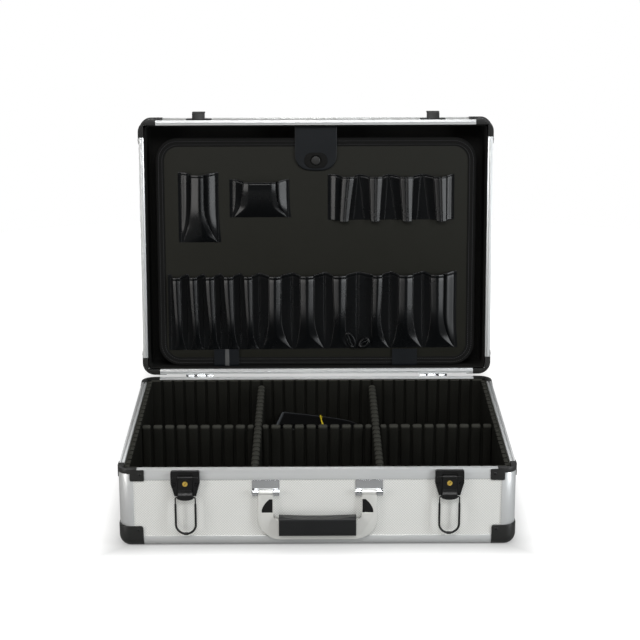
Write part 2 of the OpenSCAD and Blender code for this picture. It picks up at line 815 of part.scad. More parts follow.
// Outline of the pressed frame: two tabs joined by a bar with round corners
module frame_outline() {
    half = frame_w / 2;
    tab_out = bracket_x + tab_frame_w / 2;
    tab_in = bracket_x - tab_frame_w / 2;
    neck_z = handle_pivot_z - barrel_r - 0.6;
    difference() {
        union() {
            round_rect(-half, frame_foot_z, half, grip_top_z + frame_r, frame_r);
            for (s = [-1, 1])
                translate([s * bracket_x - tab_frame_w / 2, grip_top_z])
                    square([tab_frame_w, neck_z - grip_top_z]);
        }
        // Open above the shoulders, outside and between the tabs
        for (s = [0, 1]) mirror([s, 0, 0])
            translate([tab_out, neck_z - 6]) square([reach, reach]);
        round_rect(-tab_in, grip_bar_top, tab_in, reach, 5);
        translate([-reach / 2, neck_z]) square([reach, reach]);
    }
    for (s = [-1, 1])
        translate([s * bracket_x - mid_barrel_w / 2, neck_z - eps])
            square([mid_barrel_w, handle_pivot_z - neck_z]);
}

// The curved fin pressed into each shoulder, drawn for the right one
module fin_outline() {
    x0 = bracket_x - tab_frame_w / 2 + 1;
    fin_w = 12.5;
    fin_z = handle_pivot_z - 24.6;
    fin_h = 16.5;
    intersection() {
        translate([x0, fin_z]) square([fin_w, fin_h]);
        translate([x0 - fin_w, fin_z - 4]) circle(r = 26);
    }
}

module handle_frame() {
    color(chrome) translate([0, lip_t - case_d / 2, 0]) difference() {
        union() {
            out_plate(handle_pivot_out - frame_t / 2, handle_pivot_out + frame_t / 2) frame_outline();
            for (s = [-1, 1])
                barrel(s * bracket_x - mid_barrel_w / 2, s * bracket_x + mid_barrel_w / 2, mid_barrel_r);
        }
        for (s = [-1, 1])
            barrel(s * bracket_x - bracket_w, s * bracket_x + bracket_w, handle_pin_r + run_gap);
        for (s = [0, 1]) mirror([s, 0, 0])
            out_plate(handle_pivot_out + frame_t / 2 - 0.7, reach) fin_outline();
    }
}

module handle_grip() {
    sag = 2.6;
    sag_r = pow(grip_l / 2, 2) / (2 * sag);
    back = 0.8;
    color(black) translate([0, lip_t - case_d / 2, 0]) difference() {
        mirror([0, 1, 0]) rotate([90, 0, 90]) linear_extrude(height = grip_l, center = true)
            difference() {
                round_rect(back, grip_foot_z, back + grip_t, grip_top_z, 5);
                translate([handle_pivot_out - frame_t / 2, 0]) square([frame_t, grip_bar_top]);
            }
        translate([0, 0, grip_top_z - sag + sag_r]) rotate([90, 0, 0])
            cylinder(r = sag_r, h = reach, center = true, $fn = 720);
    }
}

// ---- strap lugs and rings ----

lug_t = 1;
lug_h = 15;
lug_loop_w = 0.6 * lug_w;
ring_out = lug_t + ring_wire_r + 0.2;

// Top of the lugs' plates, just under the rim's band
lug_top = base_h - rim_h - 0.6;

// Places its child on a side panel, drawn for the left one
module at_side(side) {
    mirror([side > 0 ? 1 : 0, 0, 0]) translate([lip_t - case_w / 2, -lug_y, 0]) children();
}

module strap_lugs() {
    keeper = ring_wire_r + 0.2;
    wall = 0.8;
    color(black) for (side = [-1, 1]) at_side(side) difference() {
        union() {
            box([-lug_t, -lug_w / 2, lug_top - lug_h], [0, lug_w / 2, lug_top]);
            translate([-ring_out, 0, lug_z]) rotate([90, 0, 0])
                cylinder(r = keeper + wall, h = lug_loop_w, center = true);
            box([-ring_out, -lug_loop_w / 2, lug_z - keeper - wall],
                [0, lug_loop_w / 2, lug_z + keeper + wall]);
        }
        translate([-ring_out, 0, lug_z]) rotate([90, 0, 0])
            cylinder(r = keeper, h = lug_w + 1, center = true);
    }
}

// A D-ring that hangs from its straight bar
module d_ring(side) {
    half = ring_in_w / 2 + ring_wire_r;
    bend = 8;
    color(chrome) at_side(side) translate([-ring_out, 0, lug_z]) {
        rotate([90, 0, 0]) cylinder(r = ring_wire_r, h = 2 * half, center = true);
        for (s = [-1, 1]) {
            translate([0, s * half, 0]) sphere(r = ring_wire_r);
            translate([0, s * half, -(ring_l - bend)]) cylinder(r = ring_wire_r, h = ring_l - bend);
            translate([0, s * (half - bend), -(ring_l - bend)]) rotate([0, 90, 0])
                rotate([0, 0, s > 0 ? 0 : -90]) rotate_extrude(angle = 90)
                    translate([bend, 0]) circle(r = ring_wire_r);
        }
        translate([0, 0, -ring_l]) rotate([90, 0, 0])
            cylinder(r = ring_wire_r, h = 2 * (half - bend), center = true);
    }
}

module left_d_ring() { d_ring(-1); }
module right_d_ring() { d_ring(1); }

// ---- hinges, drawn closed on the back ----

knuckle_gap = 0.25;
mid_knuckle = hinge_w / 5;
leaf_from = knuckle_r + 0.6;

module at_hinges() {
    for (s = [-1, 1]) translate([s * hinge_x, case_d / 2, base_h]) children();
}

module knuckle(x0, x1) {
    translate([x0, hinge_out, 0]) rotate([0, 90, 0]) cylinder(r = knuckle_r, h = x1 - x0);
}

// A leaf below the axis, its joggled foot lying on the panel
module leaf_plate() {
    box([-hinge_w / 2, 0, -leaf_h], [hinge_w / 2, leaf_t, -leaf_from]);
    box([-hinge_w / 2, -lip_t, -leaf_h], [hinge_w / 2, eps, -rim_h - rim_gap - 0.1]);
}

// The stub of a leaf that rises to its knuckle
module leaf_stub(x0, x1) {
    box([x0, 0, -leaf_from - eps], [x1, leaf_t, -0.6]);
}

module hinge_base_leaves() {
    color(chrome) at_hinges() difference() {
        union() {
            leaf_plate();
            for (m = [0, 1]) mirror([m, 0, 0]) {
                knuckle(mid_knuckle + knuckle_gap, hinge_w / 2);
                leaf_stub(mid_knuckle + knuckle_gap, hinge_w / 2);
            }
        }
        translate([0, hinge_out, 0]) rotate([0, 90, 0])
            cylinder(r = hinge_pin_r + run_gap, h = 2 * hinge_w, center = true);
    }
}

module hinge_pins() {
    color(chrome) at_hinges() translate([0, hinge_out, 0]) rotate([0, 90, 0])
        cylinder(r = hinge_pin_r, h = hinge_w, center = true);
}

module hinge_lid_leaves() {
    color(chrome) swing_open() at_hinges() difference() {
        union() {
            mirror([0, 0, 1]) {
                leaf_plate();
                leaf_stub(-mid_knuckle, mid_knuckle);
            }
            knuckle(-mid_knuckle, mid_knuckle);
        }
        translate([0, hinge_out, 0]) rotate([0, 90, 0])
            cylinder(r = hinge_pin_r + run_gap, h = 2 * hinge_w, center = true);
    }
}

// ---- lid lining and tool pallet ----

lining_in = shell_t + lining_t;

module lid_lining() {
    foot = rim_top_t + 0.5;
    color(black) swing_open() difference() {
        box([shell_t - case_w / 2, shell_t - case_d / 2, base_h + rim_gap + foot],
            [case_w / 2 - shell_t, case_d / 2 - shell_t, base_h + lid_h - shell_t]);
        box([lining_in - case_w / 2, lining_in - case_d / 2, 0],
            [case_w / 2 - lining_in, case_d / 2 - lining_in, base_h + lid_h - lining_in]);
        // Room for the corner profiles and the rims' flanges
        at_corners() difference() {
            box([0, 0, 0], [post_r, post_r, reach]);
            translate([0, 0, -1]) linear_extrude(height = reach)
                round_rect(shell_t, shell_t, reach, reach, post_inner_r);
        }
        difference() {
            box([-reach, -reach, 0], [reach, reach, base_h + rim_gap + rim_flange_h + 0.3]);
            box([rim_w + 0.3 - case_w / 2, rim_w + 0.3 - case_d / 2, -1],
                [case_w / 2 - rim_w - 0.3, case_d / 2 - rim_w - 0.3, reach]);
        }
    }
}

module pallet_outline(grow) {
    half = pallet_w / 2 + grow;
    round_rect(-half, pallet_edge - grow, half, pallet_top + grow, pallet_r + grow);
}

module pallet_board() {
    color(board_grey) in_lid(pallet_depth) linear_extrude(height = pallet_t) pallet_outline(0);
}

module pallet_binding() {
    color(pvc) in_lid(pallet_depth) difference() {
        translate([0, 0, -binding_t]) linear_extrude(height = pallet_t + 2 * binding_t)
            pallet_outline(binding_t);
        linear_extrude(height = pallet_t) pallet_outline(0);
        translate([0, 0, -reach / 2]) linear_extrude(height = reach) pallet_outline(-binding_w);
    }
}

// The sheet's bulge over one pocket: a band of a circle between two seams
module bulge(x0, x1, rise) {
    r = (pow(x1 - x0, 2) / 4 + rise * rise) / (2 * rise);
    intersection() {
        translate([x0, 0]) square([x1 - x0, rise + 1]);
        translate([(x0 + x1) / 2, rise - r]) difference() {
            circle(r = r);
            circle(r = r - sheet_t);
        }
    }
}

// The filled bulge, for a pocket's closed foot
module filled_bulge(x0, x1, rise) {
    r = (pow(x1 - x0, 2) / 4 + rise * rise) / (2 * rise);
    intersection() {
        translate([x0, 0]) square([x1 - x0, rise + 1]);
        translate([(x0 + x1) / 2, rise - r]) circle(r = r);
    }
}

// Extrudes a section (x, towards the reader) between two distances from the hinge side
module along_pallet(from, to) {
    in_lid(pallet_depth) translate([0, from, 0]) rotate([-90, 0, 0])
        linear_extrude(height = to - from) children();
}

// Pockets side by side, stitched down at the seams on one backing sheet
module pockets(seams, rises, from, to, closed) {
    backing = 0.6;
    last = len(seams) - 1;
    along_pallet(from, to) {
        translate([seams[0], 0]) square([seams[last] - seams[0], backing]);
        for (i = [0:last - 1]) bulge(seams[i], seams[i + 1], rises[i]);
    }
    if (closed)
        along_pallet(from, from + sheet_t)
            for (i = [0:last - 1]) filled_bulge(seams[i], seams[i + 1], rises[i]);
}

// Seams of the row of eleven pockets, five narrow ones and then six wide ones, and of
// the tool loops, as shares of the pallet's width
narrow_shares = [-0.4614, -0.4072, -0.3566, -0.3036, -0.2410, -0.1807];
wide_share = 0.1036;
row_seams = concat(narrow_shares * pallet_w,
    [for (i = [1:6]) (narrow_shares[5] + i * wide_share) * pallet_w]);
row_rises = [for (i = [0:10]) i < 5 ? 0.77 * pocket_out : pocket_out];
loop_seams = [0.0458, 0.1277, 0.2193, 0.3229, 0.4313] * pallet_w;
loop_rises = [0.91, 0.95, 1, 1] * pocket_out;
// Upper edges of the loops and of the two top pockets, and those pockets' lower edges
loops_top = pallet_edge + 0.8475 * pallet_l;
top_seams = [[-0.4289, -0.3036] * pallet_w, [-0.2651, -0.0843] * pallet_w];
top_edges = [[0.5593, 0.8542] * pallet_l, [0.6678, 0.8237] * pallet_l];

module pocket_row() { color(pvc) pockets(row_seams, row_rises, row_foot, row_top, true); }
module tool_loops() { color(pvc) pockets(loop_seams, loop_rises, loops_top - loops_h, loops_top, false); }

module top_pockets() {
    color(pvc) for (i = [0, 1])
        pockets(top_seams[i], [pocket_out + 1], pallet_edge + top_edges[i][0],
            pallet_edge + top_edges[i][1], true);
}

// The two straps that hold the pallet's lower edge to the lining
module pallet_straps() {
    t = 1.2;
    clear = binding_t + 0.3;
    color(pvc) for (x = [-0.2867, 0.2807] * pallet_w) in_lid(pallet_depth) translate([x, 0, 0]) {
        box([-strap_w / 2, pallet_edge - clear - 0.6, -clear - t], [strap_w / 2, row_foot - 2, -clear]);
        box([-strap_w / 2, pallet_edge - clear - 0.6, -clear - t],
            [strap_w / 2, pallet_edge - clear, pallet_t + clear]);
    }
}

tongue_gap = 0.4;
tongue_face = binding_t + tongue_gap + tongue_t;
stud_out = 5.5;

module pallet_stud() {
    color(black) in_lid(pallet_depth) translate([0, stud_b, 0]) mirror([0, 0, 1]) {
        cylinder(r = stud_r - 1.2, h = stud_out);
        translate([0, 0, stud_out - 1.4]) cylinder(r1 = stud_r, r2 = stud_r - 0.8, h = 1.4);
    }
}

tongue_top = case_d - lining_in - 0.3;

module snap_tongue() {
    foot_r = 20;
    color(pvc) in_lid(pallet_depth - tongue_face) linear_extrude(height = tongue_t) difference() {
        union() {
            round_rect(-tongue_w / 2, tongue_foot, tongue_w / 2, tongue_top, foot_r);
            translate([-tongue_w / 2, tongue_foot + foot_r])
                square([tongue_w, tongue_top - tongue_foot - foot_r]);
        }
        translate([0, stud_b]) circle(r = stud_r + 0.6);
    }
}

// The oval plate that stiffens the tongue around the stud
module tongue_plate() {
    plate_t = 1;
    color(black) in_lid(pallet_depth - tongue_face - plate_t) linear_extrude(height = plate_t)
        difference() {
            round_rect(-15, stud_b - 10, 15, stud_b + 10, 9.9);
            translate([0, stud_b]) circle(r = stud_r + 0.6);
        }
}

// ---- the folded shoulder strap in the rear middle compartment ----

bundle_back = case_d / 2 - foam_in - 1.5;
bundle_y = bundle_back - bundle_w / 2;
bundle_foot = foam_floor_top + 0.3;
band_t = 1.2;
band_h = 0.89 * bundle_t;
band_x = bundle_l / 16;

// Side view of the strap: folds stacked a little lower towards one end
module bundle_outline() {
    r = 6;
    half = bundle_l / 2 - r;
    hull() for (p = [[-half, r], [half, r], [half, 0.68 * bundle_t - r], [band_x, band_h - r + 0.3],
                     [-half + 12, bundle_t - r], [-half, 0.62 * bundle_t]])
        translate(p) circle(r = r);
}

// Runs a rectangle round the strap where the rubber band sits
module band_outline(inset) {
    translate([band_x, bundle_y, bundle_foot + band_h / 2]) rotate([0, 90, 0])
        linear_extrude(height = 5, center = true)
            square([band_h - 2 * inset, bundle_w - 2 * inset], center = true);
}

module strap_bundle() {
    color(black) difference() {
        translate([0, bundle_y + bundle_w / 2, bundle_foot]) rotate([90, 0, 0])
            linear_extrude(height = bundle_w) bundle_outline();
        difference() {
            translate([band_x - 2.5, bundle_y - reach / 2, 0]) cube([5, reach, reach]);
            band_outline(band_t);
        }
    }
}

module rubber_band() {
    color("#d8c23a") intersection() {
        difference() {
            band_outline(0);
            band_outline(band_t - 0.2);
        }
        translate([band_x - 2.2, bundle_y - reach / 2, 0]) cube([4.4, reach, reach]);
    }
}

// Two swivel hooks hanging against the front of the folded strap
module strap_hooks() {
    ring_r = 9;
    wire_r = 2;
    color(chrome) for (x = [-0.3, 0.32])
        translate([x * bundle_l, bundle_y - bundle_w / 2 - wire_r - 0.3, bundle_foot + 0.46 * bundle_t]) {
            rotate([90, 0, 0]) rotate_extrude() translate([ring_r, 0]) circle(r = wire_r);
            translate([0, 0, -ring_r - 8]) cylinder(r = wire_r, h = 7);
        }
}

base_floor_panel();
base_front_wall();
base_rear_wall();
base_side_walls();
base_rims();
base_edge_profiles();
base_corner_posts();
base_bottom_corners();
base_rim_corners();
base_rivets();
foam_floor();
foam_front_wall();
foam_rear_wall();
foam_side_walls();
divider_left();
divider_right();
cross_dividers();
left_latch_housing();
right_latch_housing();
strap_lugs();
handle_brackets();
handle_pins();
hinge_base_leaves();
hinge_pins();
strap_bundle();
strap_hooks();
rubber_band();
left_latch_lever();
right_latch_lever();
left_latch_bail();
right_latch_bail();
left_lock_core();
right_lock_core();
left_d_ring();
right_d_ring();
handle_frame();
handle_grip();
lid_top_panel();
lid_front_wall();
lid_rear_wall();
lid_side_walls();
lid_rims();
lid_edge_profiles();
lid_corner_posts();
lid_top_corners();
lid_rim_corners();
lid_rivets();
lid_lining();
latch_catches();
hinge_lid_leaves();
pallet_straps();
pallet_board();
pallet_binding();
top_pockets();
tool_loops();
pocket_row();
pallet_stud();
snap_tongue();
tongue_plate();
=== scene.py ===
"""The looks of an aluminium-framed hard tool case, built round its solids."""

import json
import math

import bmesh
import bpy
from mathutils import Matrix, Vector


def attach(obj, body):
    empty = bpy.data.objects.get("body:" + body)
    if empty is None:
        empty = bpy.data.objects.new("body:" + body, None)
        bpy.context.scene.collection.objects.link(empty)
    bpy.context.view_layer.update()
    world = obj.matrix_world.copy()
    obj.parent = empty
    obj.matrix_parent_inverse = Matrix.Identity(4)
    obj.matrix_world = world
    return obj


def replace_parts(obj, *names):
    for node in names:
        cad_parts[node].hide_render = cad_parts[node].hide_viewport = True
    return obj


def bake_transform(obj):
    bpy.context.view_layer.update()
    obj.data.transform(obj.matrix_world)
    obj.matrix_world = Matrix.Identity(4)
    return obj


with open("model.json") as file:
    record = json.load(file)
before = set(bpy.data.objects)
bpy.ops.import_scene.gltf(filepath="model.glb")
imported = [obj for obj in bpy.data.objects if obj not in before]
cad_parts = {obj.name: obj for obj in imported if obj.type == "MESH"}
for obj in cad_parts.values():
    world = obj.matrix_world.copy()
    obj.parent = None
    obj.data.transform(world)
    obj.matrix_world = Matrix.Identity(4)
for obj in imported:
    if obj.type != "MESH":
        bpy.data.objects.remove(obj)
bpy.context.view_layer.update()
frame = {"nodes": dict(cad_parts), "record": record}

# Sizes are in mm, and MM turns them into metres
MM = 0.001
CASE_W, CASE_D, BASE_H = 457, 334, 97
LID_ANGLE = math.radians(95.6)
HINGE_OUT = 2.8
SHELL = 5
FOAM_IN = 13
FOAM_FLOOR = 9
FOAM_TOP = 95.6
RIB_PITCH, RIB_SLOT, RIB_DEPTH = 14.5, 2.8, 4
DIVIDER_X, DIVIDER_TOP, DIVIDER_R = 72.5, 90, 5
PALLET_DEPTH, PALLET_EDGE, PALLET_TOP = 13, 10, 309
PALLET_HALF, PALLET_R = 207.5, 28
STUD_B = PALLET_TOP - 28
LATCH_X = CASE_W / 2 - 77.5


def linear(code):
    """An sRGB hex colour as the linear values that a node takes."""
    parts = [int(code[i:i + 2], 16) / 255 for i in (1, 3, 5)]
    return tuple(c / 12.92 if c <= 0.04045 else ((c + 0.055) / 1.055) ** 2.4 for c in parts) + (1.0,)


def add(tree, kind, settings=None, inputs=None):
    """Adds a node with its settings, and with a value or a link for each named input."""
    node = tree.nodes.new(kind)
    for name, value in (settings or {}).items():
        setattr(node, name, value)
    for name, value in (inputs or {}).items():
        if isinstance(value, bpy.types.NodeSocket):
            tree.links.new(value, node.inputs[name])
        else:
            node.inputs[name].default_value = value
    return node


def material(name):
    """An empty material, its tree and its coordinates."""
    made = bpy.data.materials.new(name)
    made.use_nodes = True
    made.node_tree.nodes.clear()
    return made, made.node_tree, add(made.node_tree, "ShaderNodeTexCoord").outputs


def shade(tree, **inputs):
    """Ends a material in a principled shader with these inputs."""
    shader = add(tree, "ShaderNodeBsdfPrincipled", inputs={k.replace("_", " "): v for k, v in inputs.items()})
    add(tree, "ShaderNodeOutputMaterial", inputs={"Surface": shader.outputs[0]})


def maths(tree, operation, *values):
    return add(tree, "ShaderNodeMath", {"operation": operation}, dict(enumerate(values))).outputs[0]


def split(tree, vector):
    return add(tree, "ShaderNodeSeparateXYZ", inputs={0: vector}).outputs


def noise(tree, coord, scale, **more):
    return add(tree, "ShaderNodeTexNoise", inputs={
        "Vector": coord["Object"], "Scale": scale, **more}).outputs[0]


def cells(tree, coord, size):
    """Distances from the middles of cells of a size in mm."""
    return add(tree, "ShaderNodeTexVoronoi", inputs={
        "Vector": coord["Object"], "Scale": 1 / (size * MM)}).outputs["Distance"]


def remap(tree, value, start, end, low=0.0, high=1.0, smooth=False):
    """A value's way from start to end, as one from low to high."""
    return add(tree, "ShaderNodeMapRange", {"interpolation_type": "SMOOTHSTEP"} if smooth else {}, {
        "Value": value, "From Min": start, "From Max": end, "To Min": low, "To Max": high}).outputs[0]


def mixed(tree, share, first, second):
    """A colour between two; first may be a socket."""
    return add(tree, "ShaderNodeMix", {"data_type": "RGBA"}, {
        0: share, 6: linear(first) if isinstance(first, str) else first, 7: linear(second)}).outputs[2]


def bumped(tree, height, strength, depth):
    """The normal of a bump as deep as depth, in mm."""
    return add(tree, "ShaderNodeBump", inputs={
        "Height": height, "Strength": strength, "Distance": depth * MM}).outputs[0]


# ---- finishes ----

def diamond_laminate():
    """Aluminium-look laminate, roller embossed with fine diamonds that glint one by one."""
    made, tree, coord = material("embossed_aluminium_laminate")
    # Rows of diamonds 2.2 mm apart, a little coarser than the real ones so that they show
    pitch = 2.2 * MM
    turned = add(tree, "ShaderNodeMapping", inputs={
        "Vector": coord["UV"], "Rotation": (0, 0, math.radians(45)),
        "Scale": (1 / pitch, 1 / pitch, 1 / pitch)})
    axes = split(tree, turned.outputs[0])
    waves = [maths(tree, "PINGPONG", axes[axis], 0.5) for axis in ("X", "Y")]
    height = remap(tree, maths(tree, "MINIMUM", *waves), 0.0, 0.22)
    # The diamonds' tops are painted paler than the grooves between them: a painted highlight on the tops and
    # painted shade in the grooves, on top of the bump
    tone = mixed(tree, height, "#d2d3d0", "#f3f3ef")
    shade(tree, Base_Color=tone, Metallic=0.5, Roughness=0.3, Normal=bumped(tree, height, 0.5, 0.12))
    return made


def satin_profile():
    """Anodised aluminium extrusion: a satin metal with faint drawing lines."""
    made, tree, coord = material("anodised_aluminium_extrusion")
    rough = remap(tree, noise(tree, coord, 900.0, Detail=2.0), 0.0, 1.0, 0.3, 0.42)
    tone = mixed(tree, noise(tree, coord, 14.0), "#c3c5c6", "#d3d4d3")
    shade(tree, Base_Color=tone, Metallic=0.55, Roughness=rough)
    return made


def grained(name, dark, light, grain, rough, depth, **more):
    """A solid with a fine grain in its surface: grain in mm, depth of the bump in mm."""
    made, tree, coord = material(name)
    grains = cells(tree, coord, grain)
    cloud = noise(tree, coord, 25.0, Detail=4.0)
    tone = mixed(tree, cloud, dark, light)
    spread = remap(tree, cloud, 0.0, 1.0, rough - 0.05, rough + 0.05)
    shade(tree, Base_Color=tone, Roughness=spread, Normal=bumped(tree, grains, 0.5, depth), **more)
    return made


def foam_with_painted_top_highlight():
    """Charcoal foam with a fine cell grain, painted paler along the upward-facing tops of its ribs: a painted
    highlight.
    """
    made, tree, coord = material("ribbed_eva_foam")
    grains = cells(tree, coord, 0.6)
    tone = mixed(tree, noise(tree, coord, 25.0, Detail=4.0), "#131311", "#1a1a17")
    height = split(tree, coord["Object"])["Z"]
    raised = remap(tree, height, (DIVIDER_TOP - 7) * MM, (DIVIDER_TOP - 2) * MM, smooth=True)
    # Only what looks upwards gets the painted highlight, not the faces inside the slots
    facing = split(tree, add(tree, "ShaderNodeNewGeometry").outputs["True Normal"])["Z"]
    upward = remap(tree, facing, 0.2, 0.75, smooth=True)
    tone = mixed(tree, maths(tree, "MULTIPLY", raised, upward), tone, "#343430")
    shade(tree, Base_Color=tone, Roughness=0.9, Specular_IOR_Level=0.03, Normal=bumped(tree, grains, 0.5, 0.05))
    return made


def polished(name, code, rough):
    """Bright plated or turned metal, with the faint cloud that handling leaves."""
    made, tree, coord = material(name)
    spread = remap(tree, noise(tree, coord, 60.0, Detail=3.0), 0.0, 1.0, rough * 0.8, rough * 1.6)
    shade(tree, Base_Color=linear(code), Metallic=1.0, Roughness=spread)
    return made


def woven(name, dark, light, thread, rough, painted_fold_highlight="#000000"):
    """Woven tape or webbing on the piece's own UV map, in metres: thread in mm.

    The last argument is the shade of a painted highlight, laid on the folds and edges that the mesh's attribute of
    the same name marks.
    """
    made, tree, coord = material(name)
    scaled = add(tree, "ShaderNodeMapping", inputs={
        "Vector": coord["UV"], "Scale": (1 / (thread * MM),) * 3})
    axes = split(tree, scaled.outputs[0])
    twill = maths(tree, "PINGPONG", maths(tree, "ADD", axes["X"], axes["Y"]), 0.5)
    across = maths(tree, "PINGPONG", axes["Y"], 0.5)
    height = maths(tree, "MULTIPLY", maths(tree, "MULTIPLY", twill, across), 4.0)
    tone = mixed(tree, height, dark, light)
    folds = add(tree, "ShaderNodeAttribute", {"attribute_name": "painted_fold_highlight"})
    tone = mixed(tree, folds.outputs["Fac"], tone, painted_fold_highlight)
    shade(tree, Base_Color=tone, Roughness=rough, Specular_IOR_Level=0.12, Normal=bumped(tree, height, 0.8, 0.25))
    return made


LAMINATE = diamond_laminate()
PROFILE = satin_profile()
ABS = grained("moulded_abs", "#0f0f0e", "#171716", 0.7, 0.42, 0.03)
GLOSS_ABS = grained("satin_moulded_abs", "#080808", "#0e0e0e", 0.9, 0.4, 0.02, Specular_IOR_Level=0.3)
RIVET = grained("blackened_steel_rivet", "#1a1a1a", "#262626", 0.6, 0.35, 0.01, Metallic=0.6)
CHROME = polished("chrome_plated_steel", "#d4d6d8", 0.08)
HANDLE_SATIN = grained("satin_plated_handle_steel", "#cfcfcb", "#dbdbd7", 0.5, 0.3, 0.004, Metallic=0.45)
MATT_PLATE = grained("matt_button_plate", "#080808", "#0e0e0d", 0.6, 0.7, 0.02, Specular_IOR_Level=0.1)
BRASS = grained("turned_brass", "#c4a247", "#dcbf62", 0.5, 0.3, 0.004, Metallic=0.6)
RUBBER = grained("moulded_grip_rubber", "#090a0b", "#101112", 0.8, 0.5, 0.05, Specular_IOR_Level=0.35)
FOAM = foam_with_painted_top_highlight()
LINING = grained("black_lining_felt", "#111110", "#191918", 0.7, 0.9, 0.08, Specular_IOR_Level=0.08)
BOARD = grained("grained_vinyl_board", "#14140f", "#171713", 0.9, 0.6, 0.06, Specular_IOR_Level=0.12)
VINYL = grained("glossy_sheet_vinyl", "#060708", "#0a0b0c", 1.6, 0.28, 0.02, Specular_IOR_Level=0.22)
TONGUE = grained("soft_sheet_vinyl", "#05080b", "#0a0d11", 1.2, 0.5, 0.05, Specular_IOR_Level=0.22)
# A paler vinyl shade, a painted highlight along the left strap's crease
CREASE_HIGHLIGHT = grained("vinyl_with_painted_crease_highlight", "#333435", "#525251", 0.8, 0.6, 0.08, Specular_IOR_Level=0.2)
TAPE = woven("woven_binding_tape", "#080808", "#171716", 1.5, 0.9)
# Its last shade is a painted highlight on the folded strap's fold and edge
WEBBING = woven("nylon_webbing", "#020202", "#070708", 1.6, 0.8, "#5c5f62")
THREAD = grained("bonded_nylon_thread", "#121314", "#1f2122", 0.5, 0.6, 0.02)
YELLOW = grained("stretched_latex_rubber", "#b9a31c", "#d6bf2c", 0.5, 0.45, 0.02)


# ---- places ----

def lid_point(x, b, depth):
    """A point of the open lid, from x, its distance from the hinge side and its depth, in mm."""
    dy, dz = -HINGE_OUT - b, depth
    cos, sin = math.cos(LID_ANGLE), math.sin(LID_ANGLE)
    return Vector((x, CASE_D / 2 + HINGE_OUT + dy * cos + dz * sin, BASE_H - dy * sin + dz * cos)) * MM


def pallet_point(x, b, out):
    """A point of the pallet's face, out from it towards the reader."""
    return lid_point(x, b, PALLET_DEPTH - out)


body_of_node = {n: b for b, names in frame["record"]["behaviour"]["bodies"].items() for n in names}


# ---- making meshes ----

def linked(name, data):
    """An object of the scene."""
    obj = bpy.data.objects.new(name, data)
    bpy.context.scene.collection.objects.link(obj)
    return obj


def piece(name, verts, faces, finish, body=None, uvs=None, angle=None):
    """A mesh object in its place, which rides on a body unless it is still to be joined."""
    mesh = bpy.data.meshes.new(name)
    mesh.from_pydata([tuple(v) for v in verts], [], faces)
    if uvs:
        layer = mesh.uv_layers.new(name="UVMap")
        for loop in mesh.loops:
            layer.data[loop.index].uv = uvs[loop.vertex_index]
    obj = linked(name, mesh)
    mesh.materials.append(finish)
    tidy_normals(obj)
    smooth(obj, angle)
    if body:
        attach(obj, body)
    return obj


def tidy_normals(obj):
    mesh = bmesh.new()
    mesh.from_mesh(obj.data)
    bmesh.ops.recalc_face_normals(mesh, faces=mesh.faces)
    mesh.to_mesh(obj.data)
    mesh.free()


def smooth(obj, angle=None):
    """Shades smooth, apart from edges sharper than an angle in degrees."""
    obj.data.shade_smooth()
    if angle is not None:
        obj.data.set_sharp_from_angle(angle=math.radians(angle))


def painted(obj, finish, angle):
    """Gives obj one finish, and shades it smooth."""
    obj.data.materials.clear()
    obj.data.materials.append(finish)
    for face in obj.data.polygons:
        face.material_index = 0
    smooth(obj, angle)


def applied(obj):
    """Applies the modifiers of obj."""
    graph = bpy.context.evaluated_depsgraph_get()
    graph.update()
    made = bpy.data.meshes.new_from_object(obj.evaluated_get(graph))
    obj.modifiers.clear()
    obj.data = made
    return obj


def subdivided(obj, levels):
    part = obj.modifiers.new("smooth", "SUBSURF")
    part.levels = part.render_levels = levels
    return applied(obj)


def thickened(obj, thickness, offset, angle):
    """Gives a sheet its thickness, and shades it smooth up to an angle."""
    part = obj.modifiers.new("thick", "SOLIDIFY")
    part.thickness, part.offset = thickness * MM, offset
    tidy_normals(applied(obj))
    smooth(obj, angle)


def refined(node, finish, bevel=0.3, segments=2):
    """A copy of a solid with eased edges, which stands for it."""
    mesh = bmesh.new()
    mesh.from_mesh(frame["nodes"][node].data)
    bmesh.ops.remove_doubles(mesh, verts=mesh.verts, dist=1e-6)
    bmesh.ops.dissolve_limit(mesh, angle_limit=math.radians(0.5), verts=mesh.verts, edges=mesh.edges)
    data = bpy.data.meshes.new(node + "_eased")
    mesh.to_mesh(data)
    mesh.free()
    obj = linked(node + "_eased", data)
    if bevel:
        part = obj.modifiers.new("ease", "BEVEL")
        part.width, part.segments = bevel * MM, segments
        part.limit_method, part.angle_limit = "ANGLE", math.radians(35)
        part.use_clamp_overlap = True
        part.miter_outer = "MITER_ARC"
        applied(obj)
    painted(obj, finish, 32)
    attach(obj, body_of_node[node])
    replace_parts(obj, node)
    return obj


def grid_faces(rows, columns, start=0, loop=False):
    """Quads between rows of points; loop joins each row's ends."""
    across = columns if loop else columns - 1
    return [
        (start + r * columns + c, start + r * columns + (c + 1) % columns,
         start + (r + 1) * columns + (c + 1) % columns, start + (r + 1) * columns + c)
        for r in range(rows - 1) for c in range(across)]


def tube_faces(rows, columns, start=0):
    """Quads round joined rows of points, and a face over each end."""
    return grid_faces(rows, columns, start, True) + [
        tuple(range(at, at + columns)) for at in (start, start + (rows - 1) * columns)]


def ring_edges(count):
    return [(i, (i + 1) % count) for i in range(count)]


# ---- trees ----

def new_tree(name, sockets):
    tree = bpy.data.node_groups.new(name, "GeometryNodeTree")
    tree.interface.new_socket("Geometry", in_out="INPUT", socket_type="NodeSocketGeometry")
    for label, kind in sockets.items():
        tree.interface.new_socket(label, in_out="INPUT", socket_type="NodeSocket" + kind)
    tree.interface.new_socket("Geometry", in_out="OUTPUT", socket_type="NodeSocketGeometry")
    return tree, add(tree, "NodeGroupInput").outputs


def end_tree(tree, given, instances):
    real = add(tree, "GeometryNodeRealizeInstances", inputs={0: instances})
    painted = add(tree, "GeometryNodeSetMaterial", inputs={
        "Geometry": real.outputs[0], "Material": given["Finish"]})
    add(tree, "NodeGroupOutput", inputs={0: painted.outputs[0]})
    return tree


